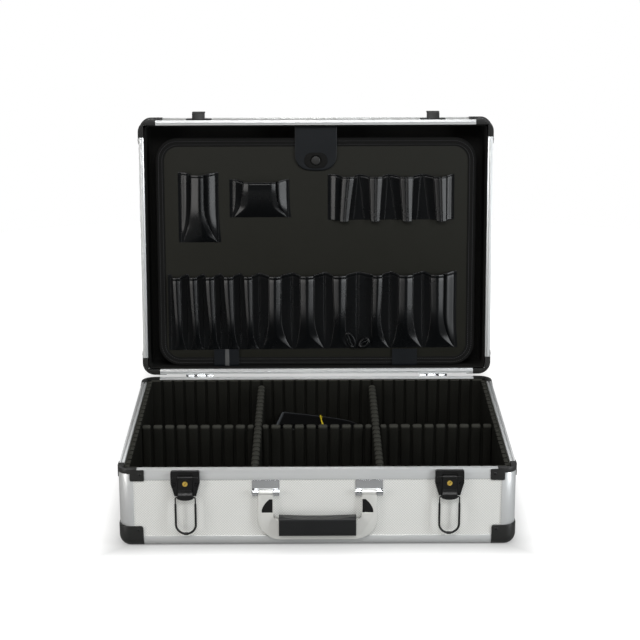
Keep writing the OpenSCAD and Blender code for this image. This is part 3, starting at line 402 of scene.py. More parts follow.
def row_tree():
    """Repeats a mesh in a straight row."""
    tree, given = new_tree("row", {"Count": "Int", "Step": "Vector", "Finish": "Material"})
    line = add(tree, "GeometryNodeMeshLine", {"mode": "OFFSET"}, {
        "Count": given["Count"], "Offset": given["Step"]})
    copies = add(tree, "GeometryNodeInstanceOnPoints", inputs={
        "Points": line.outputs[0], "Instance": given["Geometry"]})
    return end_tree(tree, given, copies.outputs[0])


def stitch_tree():
    """Lays stitches end to end along the edges of a mesh."""
    tree, given = new_tree("stitches", {
        "Pitch": "Float", "Length": "Float", "Thickness": "Float", "Finish": "Material"})
    path = add(tree, "GeometryNodeMeshToCurve", inputs={0: given["Geometry"]})
    points = add(tree, "GeometryNodeCurveToPoints", {"mode": "LENGTH"}, {
        "Curve": path.outputs[0], "Length": given["Pitch"]})
    bead = add(tree, "GeometryNodeMeshUVSphere", inputs={"Segments": 6, "Rings": 5, "Radius": 0.5})
    size = add(tree, "ShaderNodeCombineXYZ", inputs={
        "X": given["Thickness"], "Y": given["Thickness"], "Z": given["Length"]})
    copies = add(tree, "GeometryNodeInstanceOnPoints", inputs={
        "Points": points.outputs[0], "Instance": bead.outputs[0],
        "Rotation": points.outputs["Rotation"], "Scale": size.outputs[0]})
    return end_tree(tree, given, copies.outputs[0])


def wire_tree():
    """Draws a wire along the edges of a mesh, as thick as its points' own radius says."""
    tree, given = new_tree("wire", {"Sides": "Int", "Finish": "Material"})
    path = add(tree, "GeometryNodeMeshToCurve", inputs={0: given["Geometry"]})
    radius = add(tree, "GeometryNodeInputNamedAttribute", {"data_type": "FLOAT"}, {"Name": "wire_radius"})
    ring = add(tree, "GeometryNodeCurvePrimitiveCircle", inputs={
        "Resolution": given["Sides"], "Radius": 1.0})
    tube = add(tree, "GeometryNodeCurveToMesh", inputs={
        "Curve": path.outputs[0], "Profile Curve": ring.outputs[0], "Scale": radius.outputs["Attribute"],
        "Fill Caps": True})
    return end_tree(tree, given, tube.outputs[0])


ROW, STITCHES, WIRE = row_tree(), stitch_tree(), wire_tree()


def grown(name, tree, verts, faces, edges, finish, body=None, slot=None, radii=None, angle=40, **inputs):
    """Runs a tree on a small mesh and keeps the result as a plain mesh."""
    mesh = bpy.data.meshes.new(name)
    mesh.from_pydata([tuple(v) for v in verts], edges, faces)
    if radii:
        values = mesh.attributes.new("wire_radius", "FLOAT", "POINT")
        for i, r in enumerate(radii):
            values.data[i].value = r
    obj = linked(name, mesh)
    if faces:
        tidy_normals(obj)
    part = obj.modifiers.new("tree", "NODES")
    part.node_group = tree
    inputs["Finish"] = finish
    for item in tree.interface.items_tree:
        if item.in_out == "INPUT" and item.name in inputs:
            part[item.identifier] = inputs[item.name]
    applied(obj)
    painted(obj, finish, angle)
    if body:
        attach(obj, body)
    return obj


def joined(name, objects):
    """Joins finished meshes into one."""
    mesh = bmesh.new()
    for obj in objects:
        mesh.from_mesh(obj.data)
    finish = objects[0].data.materials[0]
    data = bpy.data.meshes.new(name)
    mesh.to_mesh(data)
    mesh.free()
    data.materials.append(finish)
    obj = linked(name, data)
    for old in objects:
        bpy.data.objects.remove(old)
    smooth(obj, 40)
    return obj


def corner_turns(steps):
    """The side of each corner of a rounded rectangle, with angles round it."""
    for sx, sb, start in ((1, 0, -90), (1, 1, 0), (-1, 1, 90), (-1, 0, 180)):
        for k in range(steps + 1):
            yield sx, sb, math.radians(start + 90 * k / steps)


# ---- shell, corners and fittings ----

def projected(obj, in_lid):
    """Gives a panel a UV map in metres, flat on whichever way each face looks."""
    layer = obj.data.uv_layers.new(name="UVMap")
    turn = Matrix.Rotation(LID_ANGLE, 3, "X") if in_lid else Matrix.Identity(3)
    for face in obj.data.polygons:
        normal = turn @ face.normal
        axis = max(range(3), key=lambda i: abs(normal[i]))
        first, second = [(1, 2), (0, 2), (0, 1)][axis]
        for i in face.loop_indices:
            point = turn @ obj.data.vertices[obj.data.loops[i].vertex_index].co
            layer.data[i].uv = (point[first], point[second])


for node in ("base_floor_panel", "base_front_wall", "base_rear_wall", "base_side_walls",
             "lid_top_panel", "lid_front_wall", "lid_rear_wall", "lid_side_walls"):
    projected(refined(node, LAMINATE, 0), node.startswith("lid"))
for node in ("base_rims", "base_edge_profiles", "base_corner_posts",
             "lid_rims", "lid_edge_profiles", "lid_corner_posts"):
    refined(node, PROFILE, 0.25)
for node in ("base_bottom_corners", "base_rim_corners", "lid_top_corners", "lid_rim_corners"):
    refined(node, ABS, 0.5, 3)
for node in ("base_rivets", "lid_rivets"):
    refined(node, RIVET, 0.35, 3)
for node in ("left_latch_housing", "right_latch_housing", "strap_lugs", "latch_catches"):
    refined(node, GLOSS_ABS, 0.3)


def arch_thumb_tab(obj, side):
    """Rounds a lever's foot to a thumb tab a little wider than its plate, with an arched lower edge."""
    middle, foot = side * LATCH_X, min(v.co.z for v in obj.data.vertices) / MM
    half, start, flare, rise = 8.3, foot + 7.5, 0.17, 1.9
    mesh = bmesh.new()
    mesh.from_mesh(obj.data)
    for k in range(-8, 9):
        bmesh.ops.bisect_plane(mesh, geom=mesh.verts[:] + mesh.edges[:] + mesh.faces[:], dist=1e-7,
                               plane_co=((middle + k) * MM, 0, 0), plane_no=(1, 0, 0))
    for vert in mesh.verts:
        x, z = vert.co.x / MM - middle, vert.co.z / MM
        if z < start:
            share = (start - z) / (start - foot)
            arch = math.sqrt(max(0.0, 1 - (0.93 * x / half) ** 2))
            vert.co.z = (start - (start - foot - rise) * share * (0.25 + 0.75 * arch)) * MM
            vert.co.x = (middle + x * (1 + flare * math.sin(math.pi * min(1.0, 1.4 * share) / 1.4))) * MM
    mesh.to_mesh(obj.data)
    mesh.free()
    smooth(obj, 40)


for side, node in ((-1, "left_latch_lever"), (1, "right_latch_lever")):
    arch_thumb_tab(refined(node, GLOSS_ABS, 0.4, 3), side)
for node in ("left_lock_core", "right_lock_core"):
    refined(node, BRASS, 0.2)
for node in ("handle_brackets", "handle_pins", "hinge_base_leaves",
             "hinge_pins", "hinge_lid_leaves", "left_d_ring", "right_d_ring", "strap_hooks"):
    refined(node, CHROME, 0.3, 3)
refined("handle_frame", HANDLE_SATIN, 0.3, 3)
refined("handle_grip", RUBBER, 0.8, 3)
refined("pallet_board", BOARD, 0.4)
refined("pallet_stud", ABS, 0.4, 3)


def handle_painted_dark_reflections():
    """Black curved insets in the handle's two shoulders, a painted reflection: they stand for the dark that the
    chrome mirrors there.
    """
    front = -CASE_D / 2 + 1 - 5.9 + 0.62
    low, inner, width, height, radius, steps = 45.0, 51.45, 12.5, 16.5, 26, 12
    arc = []
    for k in range(steps + 1):
        z = low + height * k / steps
        reach = inner - width + math.sqrt(max(0.0, radius ** 2 - (z - low + 4) ** 2))
        arc.append((min(inner + width, reach), z))
    outline = [(inner, low)] + [p for p in arc if p[0] > inner] + [(inner, arc[-1][1])]
    verts, faces = [], []
    for side in (-1, 1):
        faces += tube_faces(2, len(outline), len(verts))
        verts += [Vector((side * x, front + y, z)) * MM for y in (-0.25, 0.3) for x, z in outline]
    piece("handle_painted_dark_reflections", verts, faces, GLOSS_ABS, "handle", angle=40)


handle_painted_dark_reflections()


# ---- wire bails ----

BAIL_Z, BAIL_OUT, BAIL_HALF, BAIL_L = BASE_H - 32, 6.7, 11.4, 44.7


def bail(side, name):
    """The latch's wire loop: turned ends, thin necks and a round foot with its nib."""
    x, y = side * LATCH_X, -CASE_D / 2 - BAIL_OUT
    bend = BAIL_Z - BAIL_L + BAIL_HALF
    points = [(-6, BAIL_Z, 0.8), (-9.5, BAIL_Z, 0.8), (-11, BAIL_Z - 0.4, 0.8)]
    points += [(-BAIL_HALF, z, r) for z, r in (
        (BAIL_Z - 1.6, 0.8), (BAIL_Z - 7, 0.8), (BAIL_Z - 9, 1.3), (bend, 1.3))]
    steps = 14
    points += [(-BAIL_HALF * math.cos(math.pi * k / steps / 2),
                bend - BAIL_HALF * math.sin(math.pi * k / steps / 2), 1.3) for k in range(1, steps)]
    points.append((-2.6, bend - BAIL_HALF * 0.975, 1.35))
    points += [(-2.2, bend - BAIL_HALF * 0.985, 1.7), (0, bend - BAIL_HALF, 1.7)]
    points += [(-px, pz, pr) for px, pz, pr in reversed(points[:-1])]
    made = grown(name + "_wire", WIRE, [Vector((x + px, y, pz)) * MM for px, pz, pr in points], [],
                 [(i, i + 1) for i in range(len(points) - 1)], RIVET, name.replace("_latch", ""),
                 "black_rivet", [pr * MM for px, pz, pr in points], Sides=14)
    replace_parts(made, name)


bail(-1, "left_latch_bail")
bail(1, "right_latch_bail")


# ---- foam walls and dividers ----

def rib_mesh(width, ease=1.3):
    """One rounded rib on a wall: x along the wall, y out of it. Rings run up the rib."""
    ring = []
    for k in range(5):
        a = math.pi / 2 * k / 4
        ring.append((-width / 2 + ease - ease * math.cos(a), RIB_DEPTH - ease + ease * math.sin(a)))
    section = [(-width / 2, -0.5)] + ring + [(-px, py) for px, py in reversed(ring)] + [(width / 2, -0.5)]
    verts, levels = [], [(FOAM_FLOOR, 0)]
    for k in range(4):
        a = math.pi / 2 * k / 3
        levels.append((FOAM_TOP - ease + ease * math.sin(a), ease - ease * math.cos(a)))
    for z, inset in levels:
        shrink = 1 - inset / RIB_DEPTH * 0.8
        verts += [(px * (1 - inset * 0.5 / (width / 2)), py * shrink if py > 0 else py, z) for px, py in section]
    return verts, tube_faces(len(levels), len(section))


def ribbed_wall(name, length, half_depth, turn):
    """A sheet of foam with rounded ribs along one side of the base."""
    width = RIB_PITCH - RIB_SLOT
    count = int((length / 2 - RIB_SLOT / 2) // RIB_PITCH) * 2
    verts, faces = rib_mesh(width)

    def place(p):
        y = -half_depth + SHELL + RIB_DEPTH + p[1]
        return turn @ (Vector((p[0], y, p[2])) * MM)
    first = -(count / 2 - 0.5) * RIB_PITCH
    step = turn @ Vector((RIB_PITCH * MM, 0, 0))
    ribs = grown(name, ROW, [place((p[0] + first, p[1], p[2])) for p in verts], faces, [], FOAM,
                 Count=count, Step=step)
    # End ribs are cut short by the corners, and the sheet runs on behind all of them
    rest = length / 2 - count / 2 * RIB_PITCH - RIB_SLOT / 2
    parts = [ribs]
    if rest > 2:
        verts, faces = rib_mesh(rest, min(1.3, rest / 2.1))
        middle = length / 2 - rest / 2
        for side in (-1, 1):
            parts.append(piece(name + "_end", [place((p[0] + side * middle, p[1], p[2])) for p in verts],
                               faces, FOAM))
    low, high, back = FOAM_FLOOR, FOAM_TOP - 0.4, RIB_DEPTH
    notch = BASE_H - 8.3
    section = [(-back, low), (0, low), (0, high - 1), (-0.6, high), (-back + 1.7, high),
               (-back + 1.7, notch), (-back, notch)]
    verts = [place((side * length / 2, n, z)) for side in (-1, 1) for n, z in section]
    parts.append(piece(name + "_sheet", verts, tube_faces(2, len(section)), FOAM))
    return joined(name, parts)


def finish_foam(obj, *nodes):
    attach(obj, "base")
    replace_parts(obj, *nodes)


along_x = CASE_W - 2 * (SHELL + 6)
along_y = CASE_D - 2 * FOAM_IN
identity = Matrix.Identity(3)
finish_foam(ribbed_wall("front_ribbed_foam", along_x, CASE_D / 2, identity), "foam_front_wall")
finish_foam(ribbed_wall("rear_ribbed_foam", along_x, CASE_D / 2,
                        Matrix.Rotation(math.pi, 3, "Z")), "foam_rear_wall")
sides = [ribbed_wall("side_ribbed_foam", along_y, CASE_W / 2,
                     Matrix.Rotation(s * math.pi / 2, 3, "Z")) for s in (-1, 1)]
finish_foam(joined("side_ribbed_foam", sides), "foam_side_walls")


def foam_floor():
    """The sheet on the base's floor, pressed a little uneven, with its corners cut round."""
    half_x, half_y = CASE_W / 2 - SHELL - 1, CASE_D / 2 - SHELL - 1
    round_r, lip = 6, 0.8

    def stops(half, count):
        level = [(-half + round_r) + (2 * half - 2 * round_r) * k / count for k in range(count + 1)]
        return [-half, -half + lip] + level + [half - lip, half]
    xs, ys = stops(half_x, 30), stops(half_y, 22)
    verts = []
    for y in ys:
        for x in xs:
            edge = abs(x) > half_x - 0.1 or abs(y) > half_y - 0.1
            cx, cy = max(0.0, abs(x) - half_x + round_r), max(0.0, abs(y) - half_y + round_r)
            reach = max(1.0, math.hypot(cx, cy) / round_r)
            px = math.copysign(abs(x) - cx + cx / reach, x)
            py = math.copysign(abs(y) - cy + cy / reach, y)
            z = FOAM_FLOOR - (0.9 if edge else 0.0) - 0.1 * math.sin(x / 17) * math.cos(y / 13) - 0.1
            verts.append(Vector((px, py, z)) * MM)
    sheet = piece("foam_floor_sheet", verts, grid_faces(len(ys), len(xs)), FOAM)
    thickened(sheet, FOAM_FLOOR - SHELL - 1.1, -1.0, 40)
    finish_foam(sheet, "foam_floor")


foam_floor()


def lid_lining():
    """The cloth over the card that lines the lid: a tray with coved edges and round corners."""
    # Insets from the lid's edge, with depths in it
    section = [(60, 46.9), (30, 46.95), (13, 46.9), (10, 46.4), (8.5, 45.0), (8.1, 42.5), (8, 30), (8, 16), (8, 5),
               (7.9, 3.9), (7.4, 3.6)]
    verts, steps = [], 6
    for inset, depth in section:
        radius = max(2.5, 12 - inset) if inset < 20 else 4.0
        for sx, sb, a in corner_turns(steps):
            x = sx * (CASE_W / 2 - inset - radius) + radius * math.cos(a)
            b = (CASE_D - inset - radius if sb else inset + radius) + radius * math.sin(a)
            verts.append(lid_point(x, b, depth))
    count = 4 * (steps + 1)
    faces = grid_faces(len(section), count, loop=True) + [tuple(range(count))]
    cloth = piece("lid_lining_cloth", verts, faces, LINING, "lid")
    thickened(cloth, 0.9, 0.0, 45)
    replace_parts(cloth, "lid_lining")


lid_lining()


def divider_rib(width, ease=2.3):
    """One rib over a divider: an arch across it, eased at both ends, x along the divider."""
    arch = [(-DIVIDER_R, FOAM_FLOOR)] + [
        (-DIVIDER_R * math.cos(math.pi * k / 10), DIVIDER_TOP - DIVIDER_R + DIVIDER_R * math.sin(math.pi * k / 10))
        for k in range(11)] + [(DIVIDER_R, FOAM_FLOOR)]
    stations = [(-width / 2 + ease * (1 - math.cos(a)), ease * (1 - math.sin(a)))
                for a in (0.0, 0.45, 0.95, math.pi / 2)]
    stations += [(-x, inset) for x, inset in reversed(stations)]
    verts = []
    for x, inset in stations:
        for y, z in arch:
            scale = (DIVIDER_R - inset) / DIVIDER_R
            height = DIVIDER_TOP - DIVIDER_R
            verts.append((x, y * scale, z if z <= height else height + (z - height) * scale))
    count = len(arch)
    faces = grid_faces(len(stations), count) + [tuple(range(count))]
    faces.append(tuple(range((len(stations) - 1) * count, len(stations) * count)))
    faces += [(r * count, (r + 1) * count, (r + 2) * count - 1, (r + 1) * count - 1)
              for r in range(len(stations) - 1)]
    return verts, faces


def divider(name, x0, x1, turn, shift):
    """A foam divider from x0 to x1: ribs on a stiff core."""
    parts, width = [], RIB_PITCH - RIB_SLOT
    first = math.ceil((x0 + RIB_SLOT / 2) / RIB_PITCH)
    last = math.floor((x1 - RIB_SLOT / 2) / RIB_PITCH)

    def place(x, y, z):
        return turn @ (Vector((x, y, z)) * MM) + shift
    verts, faces = divider_rib(width)
    parts.append(grown(
        name + "_ribs", ROW, [place(x + (first + 0.5) * RIB_PITCH, y, z) for x, y, z in verts], faces, [],
        FOAM, Count=last - first, Step=turn @ Vector((RIB_PITCH * MM, 0, 0))))
    for low, high in ((x0, first * RIB_PITCH - RIB_SLOT / 2), (last * RIB_PITCH + RIB_SLOT / 2, x1)):
        if high - low > 1.5:
            verts, faces = divider_rib(high - low, min(2.3, (high - low) / 2.2))
            parts.append(piece(name + "_end", [place(x + (low + high) / 2, y, z) for x, y, z in verts],
                               faces, FOAM))
    core, top = 1.1, DIVIDER_TOP - 6.5
    section = [(-core, FOAM_FLOOR), (-core, top - 0.5), (0, top), (core, top - 0.5), (core, FOAM_FLOOR)]
    verts = [place(x, y, z) for x in (x0 - 3, x1 + 3) for y, z in section]
    parts.append(piece(name + "_core", verts, tube_faces(2, len(section)), FOAM))
    return joined(name, parts)


GAP = 0.3
half = CASE_D / 2 - FOAM_IN - GAP
quarter = Matrix.Rotation(math.pi / 2, 3, "Z")
for side, node in ((-1, "divider_left"), (1, "divider_right")):
    finish_foam(divider(node + "_foam", -half, half, quarter, Vector((side * DIVIDER_X * MM, 0, 0))), node)
inner, outer, wall = DIVIDER_X - DIVIDER_R - GAP, DIVIDER_X + DIVIDER_R + GAP, CASE_W / 2 - FOAM_IN - GAP
crossing = [divider("cross_dividers_foam", a, b, identity, Vector())
            for a, b in ((-inner, inner), (outer, wall), (-wall, -outer))]
finish_foam(joined("cross_dividers_foam", crossing), "cross_dividers")


# ---- the pallet's binding and its stitches ----

def pallet_loop(inset):
    """Points (x, b, inward x, inward b) round the pallet's outline, at an inset."""
    radius = PALLET_R - inset
    middle_b = [PALLET_EDGE + PALLET_R, PALLET_TOP - PALLET_R]
    return [(sx * (PALLET_HALF - PALLET_R) + radius * math.cos(a), middle_b[sb] + radius * math.sin(a),
             -math.cos(a), -math.sin(a)) for sx, sb, a in corner_turns(10)]


def binding():
    """Tape folded over the pallet's edge, its faces a little crowned."""
    path = pallet_loop(0)
    section = [(10, 0.05), (9.8, 0.6), (8.8, 0.85), (6, 0.95), (3, 0.9), (0.8, 0.8), (-0.2, 0.5), (-0.75, -0.6),
               (-0.8, -2.5), (-0.75, -4.4), (-0.2, -5.5), (0.8, -5.8), (5, -5.85), (9.8, -5.7), (10, -5.0)]
    lengths = [0.0]
    for (x, b, _, _), (x2, b2, _, _) in zip(path, path[1:] + path[:1]):
        lengths.append(lengths[-1] + math.hypot(x2 - x, b2 - b))
    verts, uvs = [], []
    for i, (x, b, ix, ib) in enumerate(path + path[:1]):
        run = 0.0
        for j, (n, out) in enumerate(section):
            if j:
                run += math.hypot(n - section[j - 1][0], out - section[j - 1][1])
            verts.append(pallet_point(x + ix * n, b + ib * n, out))
            uvs.append((lengths[i] * MM, run * MM))
    tape = piece("binding_tape", verts, grid_faces(len(path) + 1, len(section)), TAPE, "pallet",
                 uvs, 50)
    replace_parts(tape, "pallet_binding")
    rows = []
    for inset in (3.0, 7.6):
        loop = [pallet_point(x, b, 1.0) for x, b, _, _ in pallet_loop(inset)]
        rows.append(grown("row", STITCHES, loop, [], ring_edges(len(loop)), THREAD,
                          Pitch=3.0 * MM, Length=2.4 * MM, Thickness=0.6 * MM))
    both = joined("binding_stitches", rows)
    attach(both, "pallet")


binding()


# ---- pockets ----

def ease(t):
    """A smooth step from 0 to 1."""
    t = min(1.0, max(0.0, t))
    return t * t * (3 - 2 * t)


# Heights up a sheet, as a share, with how far each lies off the sheet's own surface, in mm
HEM_ROWS = [(0.935, 0), (0.95, -0.35), (0.962, -0.3), (0.97, 0.3), (0.985, 0.42), (0.997, 0.3), (1.0, -0.1),
            (1.0, -0.9), (0.985, -1.3), (0.9, -1.3)]
POCKET_ROWS = [(t, 0) for t in (0, 0.015, 0.05, 0.1, 0.17, 0.26, 0.36, 0.48, 0.62, 0.76, 0.87)] + HEM_ROWS
LOOP_ROWS = [(0.03, -1.2), (0.0, -1.0), (-0.015, -0.2), (-0.01, 0.2), (0.02, 0.1)] + [
    (t, 0) for t in (0.06, 0.2, 0.4, 0.6, 0.78, 0.9)] + HEM_ROWS


def blend_pairs(foot, top, share):
    """A pair of edges a share of the way from the foot to the top."""
    return [f + (t - f) * share for f, t in zip(foot, top)]


def pocket_section(p, t):
    """The sheet across one pocket at a share t of its height: points (x, out)."""
    share = min(1.0, max(0.0, t))
    x0, x1 = blend_pairs(p.get("seams_foot", p["seams"]), p["seams"], share)
    if "middle" in p:
        flare = max(0.0, 1 - t / p.get("foot_share", 0.5)) ** 1.7
        left, right = [mid + (top - mid) * ease(t) + (foot - mid) * flare
                       for top, mid, foot in zip(p["top"], p["middle"], p["foot"])]
        stand = p["out"] * (1 - max(0.0, 1 - t / p["rise_share"]) ** 1.6)
        swell = ease(t / 0.3)
    else:
        left, right = blend_pairs(p["foot"], p["top"], share)
        stand, swell = p["out"] * (0.88 + 0.12 * share), 1.0
    width = right - left
    # Two slopes meet over the panel: from its left edge up to flat[0], and down from flat[1]
    flat = p.get("flat", (0.45, 0.56))
    rises = [min(0.45 * width * part, 0.75 * stand) for part in (flat[0], 1 - flat[1])]
    # The right slope stays steep down to the pocket's corner, so it narrows there
    # The left slope of a wide pocket does too
    steep = 0.45 - 0.05 * (1 - ease(t / 0.45))
    runs = [width * flat[0], width * (1 - flat[1])]
    for k in (0, 1) if p.get("steep_both") else (1,):
        runs[k] = min(runs[k], 0.75 * stand / steep)
        rises[k] = min(steep * runs[k], 0.75 * stand)

    def side(x, g, s, ramp):
        # The strip slopes up from the seam, lies level, and runs in under the panel's edge
        high = 0.5 * (ramp[1] - ramp[0]) * g * swell
        return [(x, 0.35), (x + s * (0.04 + ramp[0]) * g, 0.4), (x + s * (0.1 + ramp[0]) * g, 0.4 + 0.08 * high),
                (x + s * ramp[1] * g, 0.4 + high), (x + s * (ramp[1] + 0.12) * g, 0.4 + 1.02 * high),
                (x + s * 0.95 * g, 0.4 + 0.8 * high), (x + s * (g + min(0.9, 0.2 * width)), 0.4 + 0.6 * high)]
    ramps = p.get("ramps", ((0.0, 0.1), (0.0, 0.1)))
    over = [0.4 + 0.5 * r[1] * g * swell for r, g in zip(ramps, (left - x0, x1 - right))]
    crest, level = (left + runs[0], right - runs[1]), 0.5 + stand
    slack = p.get("slack", 0.06) * min(rises)
    face = [(left, max(level - rises[0], over[0])), (left + 0.1 * runs[0], level - 0.85 * rises[0]),
            (left + 0.85 * runs[0], level - 0.12 * rises[0]), (crest[0], level),
            ((crest[0] + crest[1]) / 2, level - slack),
            (crest[1], level), (right - 0.85 * runs[1], level - 0.12 * rises[1]),
            (right - 0.1 * runs[1], level - 0.85 * rises[1]), (right, max(level - rises[1], over[1]))]
    return side(x0, left - x0, 1, ramps[0]) + face + list(reversed(side(x1, x1 - right, -1, ramps[1])))


def hem_rise(p, x, t):
    """How far the upper edge hangs or rises at x: high at the seams, low over the panel, in mm."""
    x0, x1 = p["seams"]
    left, right = p["top"]
    if x < left:
        drop = min(1.0, max(0.0, ((x - x0) / max(1.0, left - x0) - 0.55) / 0.4))
    else:
        drop = 1 - min(1.0, max(0.0, (x - right + 1) / (x1 - right + 1))) ** 0.9
    return (p.get("peak", 1.2) - p.get("drop", 3.8) * drop) * max(0.0, (t - 0.6) / 0.4)


def sewn_sheet(name, pockets, foot, top, rows, tilt=0.0):
    """One vinyl sheet sewn down along its seams, hemmed along its upper edge."""
    verts, seams, widest = [], [], 0.0
    for t, off in rows:
        row = []
        for i, p in enumerate(pockets):
            points = pocket_section(p, t)
            for x, out in points[1 if i and "middle" in p else 0:]:
                low, high = foot - tilt + tilt * x / 190, top - 0.3 + 1.2 * tilt * x / 190
                hang = 0.0 if "middle" in p else -2.2 * out / p["out"] * max(0.0, 1 - t / 0.25)
                row.append((x, low + (high - low) * t + hem_rise(p, x, t) + hang, max(0.25, out + off)))
            if off == 0:
                seams += [(i, 0, t, row[-len(points)]), (i, 1, t, row[-1])]
        for at, way in ((0, -1), (len(row), 1)):
            x, b, out = row[at - (at > 0)]
            row.insert(at if way < 0 else len(row), (x + way * 3.6, b, 0.3 + max(0, off)))
        verts += [pallet_point(*q) for q in row]
        columns = len(row)
        widest = max(widest, sum((a - b).length for a, b in zip(verts[-columns:], verts[-columns + 1:])))
    sheet = piece(name, verts, grid_faces(len(rows), columns), VINYL)
    subdivided(sheet, 2)
    smooth(sheet)
    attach(sheet, "pallet")
    lines, edges = [], []
    for i in range(len(pockets)):
        for side in (0, 1):
            spots = [q for j, s, t, q in seams if j == i and s == side]
            start = len(lines)
            lines += [pallet_point(x, b, 0.75) for x, b, out in spots]
            edges += [(start + k, start + k + 1) for k in range(len(spots) - 1)]
    sewing = grown(name + "_stitches", STITCHES, lines, [], edges, THREAD, "pallet", "pocket_vinyl",
                   Pitch=2.6 * MM, Length=1.9 * MM, Thickness=0.5 * MM)
    return sheet


ROW_POCKETS = [
    # seams, panel's edges at the top, in the middle and at the foot, how far it stands out
    ((-191.5, -169), (-188.6, -178), (-184.6, -177), (-187.5, -171.2), 10.5),
    ((-169, -148), (-166.6, -156), (-161.5, -154.7), (-167, -149), 10.5),
    ((-148, -126), (-145.5, -133.5), (-139.4, -132.5), (-144.5, -127), 10.5),
    ((-126, -100), (-121.8, -109), (-115.4, -107.9), (-119, -101.5), 10.5),
    ((-100, -75), (-95, -84), (-90.7, -83.7), (-93.6, -76), 10.5),
    ((-75, -32), (-62.5, -46), (-62.5, -47.8), (-71.6, -33), 12.2),
    ((-32, 11), (-21.5, -3), (-20.8, -4), (-28.5, 10), 12.2),
    ((11, 54), (21.6, 40), (24.9, 36.6), (16.5, 43), 12.2),
    ((54, 97), (74, 87), (73, 82.4), (72, 96), 11),
    ((97, 140), (108, 127.2), (107.7, 126.6), (98.5, 139), 12.2),
    ((140, 183), (149.6, 167.6), (151.3, 166.9), (142.5, 182), 12.2),
]
LOOPS = [
    # seams at the top and at the foot, panel's edges at the top and at the foot, how far it stands out
    ((19, 54.5), (19, 49.5), (34, 50.5), (31, 42.6), 10.5),
    ((56, 93.5), (62, 90), (69, 87.2), (71.5, 83), 11),
    ((95, 137), (103.5, 132.5), (108.5, 126.8), (113, 125), 11.5),
    ((139, 178), (147, 178), (152.5, 170), (157, 170), 11.5),
]
row = [{"seams": a, "top": b, "middle": c, "foot": d, "out": e, "foot_share": 0.22 if e < 10.8 else 0.42,
        "rise_share": 0.37 if e < 10.8 else 0.48}
       for a, b, c, d, e in ROW_POCKETS]
row[-1]["ramps"] = ((0.0, 0.1), (0.1, 0.7))
loops = [{"seams": a, "seams_foot": b, "top": c, "foot": d, "out": e, "peak": 0.8, "drop": 2.8, "slack": 0.5,
          "flat": (0.42, 0.55)} for a, b, c, d, e in LOOPS]
loops[0]["ramps"], loops[3]["ramps"] = ((0.0, 0.45), (0.0, 0.1)), ((0.0, 0.1), (0.15, 0.85))
tall = {"seams": (-176, -127.5), "top": (-163, -146), "middle": (-165, -146.5), "foot": (-174.5, -128.5), "out": 12,
        "rise_share": 0.42, "flat": (0.66, 0.78), "ramps": ((0.02, 0.55), (0.12, 0.66)), "peak": 1.0, "drop": 3.2}
wide = {"seams": (-109, -36), "top": (-95, -52), "middle": (-98.5, -50.2), "foot": (-107, -37.5), "out": 12,
        "rise_share": 0.8, "flat": (0.2, 0.84), "ramps": ((0.0, 0.3), (0.1, 0.8)), "peak": 0.8, "drop": 3.6,
        "slack": 0, "steep_both": True}
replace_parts(sewn_sheet("pocket_row_vinyl", row, 32.7, 133, POCKET_ROWS, 1.4), "pocket_row")
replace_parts(sewn_sheet("tool_loops_vinyl", loops, 204, 262.5, LOOP_ROWS), "tool_loops")
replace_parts(sewn_sheet("tall_pocket_vinyl", [tall], 174, 265.5, POCKET_ROWS), "top_pockets")
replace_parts(sewn_sheet("wide_pocket_vinyl", [wide], 206.8, 256.5, POCKET_ROWS), "top_pockets")


def crumple(name, x, b, long, wide, lean):
    """A crushed fold of vinyl at a pocket's foot: an open petal with a ridge along its middle."""
    count, lean = 24, math.radians(lean)
    cos, sin = math.cos(lean), math.sin(lean)
    turns = [2 * math.pi * k / count for k in range(count)]
    spots = [(wide / 2 * math.cos(a), long / 2 * math.sin(a), 3.4 + 1.5 * math.cos(a)) for a in turns]
    spots += [(-0.1 * wide + 0.06 * wide * math.cos(k), long / 2 * (k / 4 - 1) * 0.9, 4.6) for k in range(9)]
    points = [pallet_point(x + u * cos - v * sin, b + u * sin + v * cos, out) for u, v, out in spots]
    edges = ring_edges(count) + [(count + k, count + k + 1) for k in range(8)]
    radii = [(1.5 + 0.7 * abs(math.sin(math.pi * k / count))) * MM for k in range(count)]
    radii += [(0.5 + 0.7 * math.sin(math.pi * k / 8)) * MM for k in range(9)]
    grown(name, WIRE, points, [], edges, VINYL, "pallet", "pocket_vinyl", radii, Sides=10)


crumple("left_crumple", 44.9, 43.2, 20, 9, 24)
crumple("right_crumple", 63.1, 39.5, 14, 7.5, -50)


# ---- snap tongue and pallet straps ----

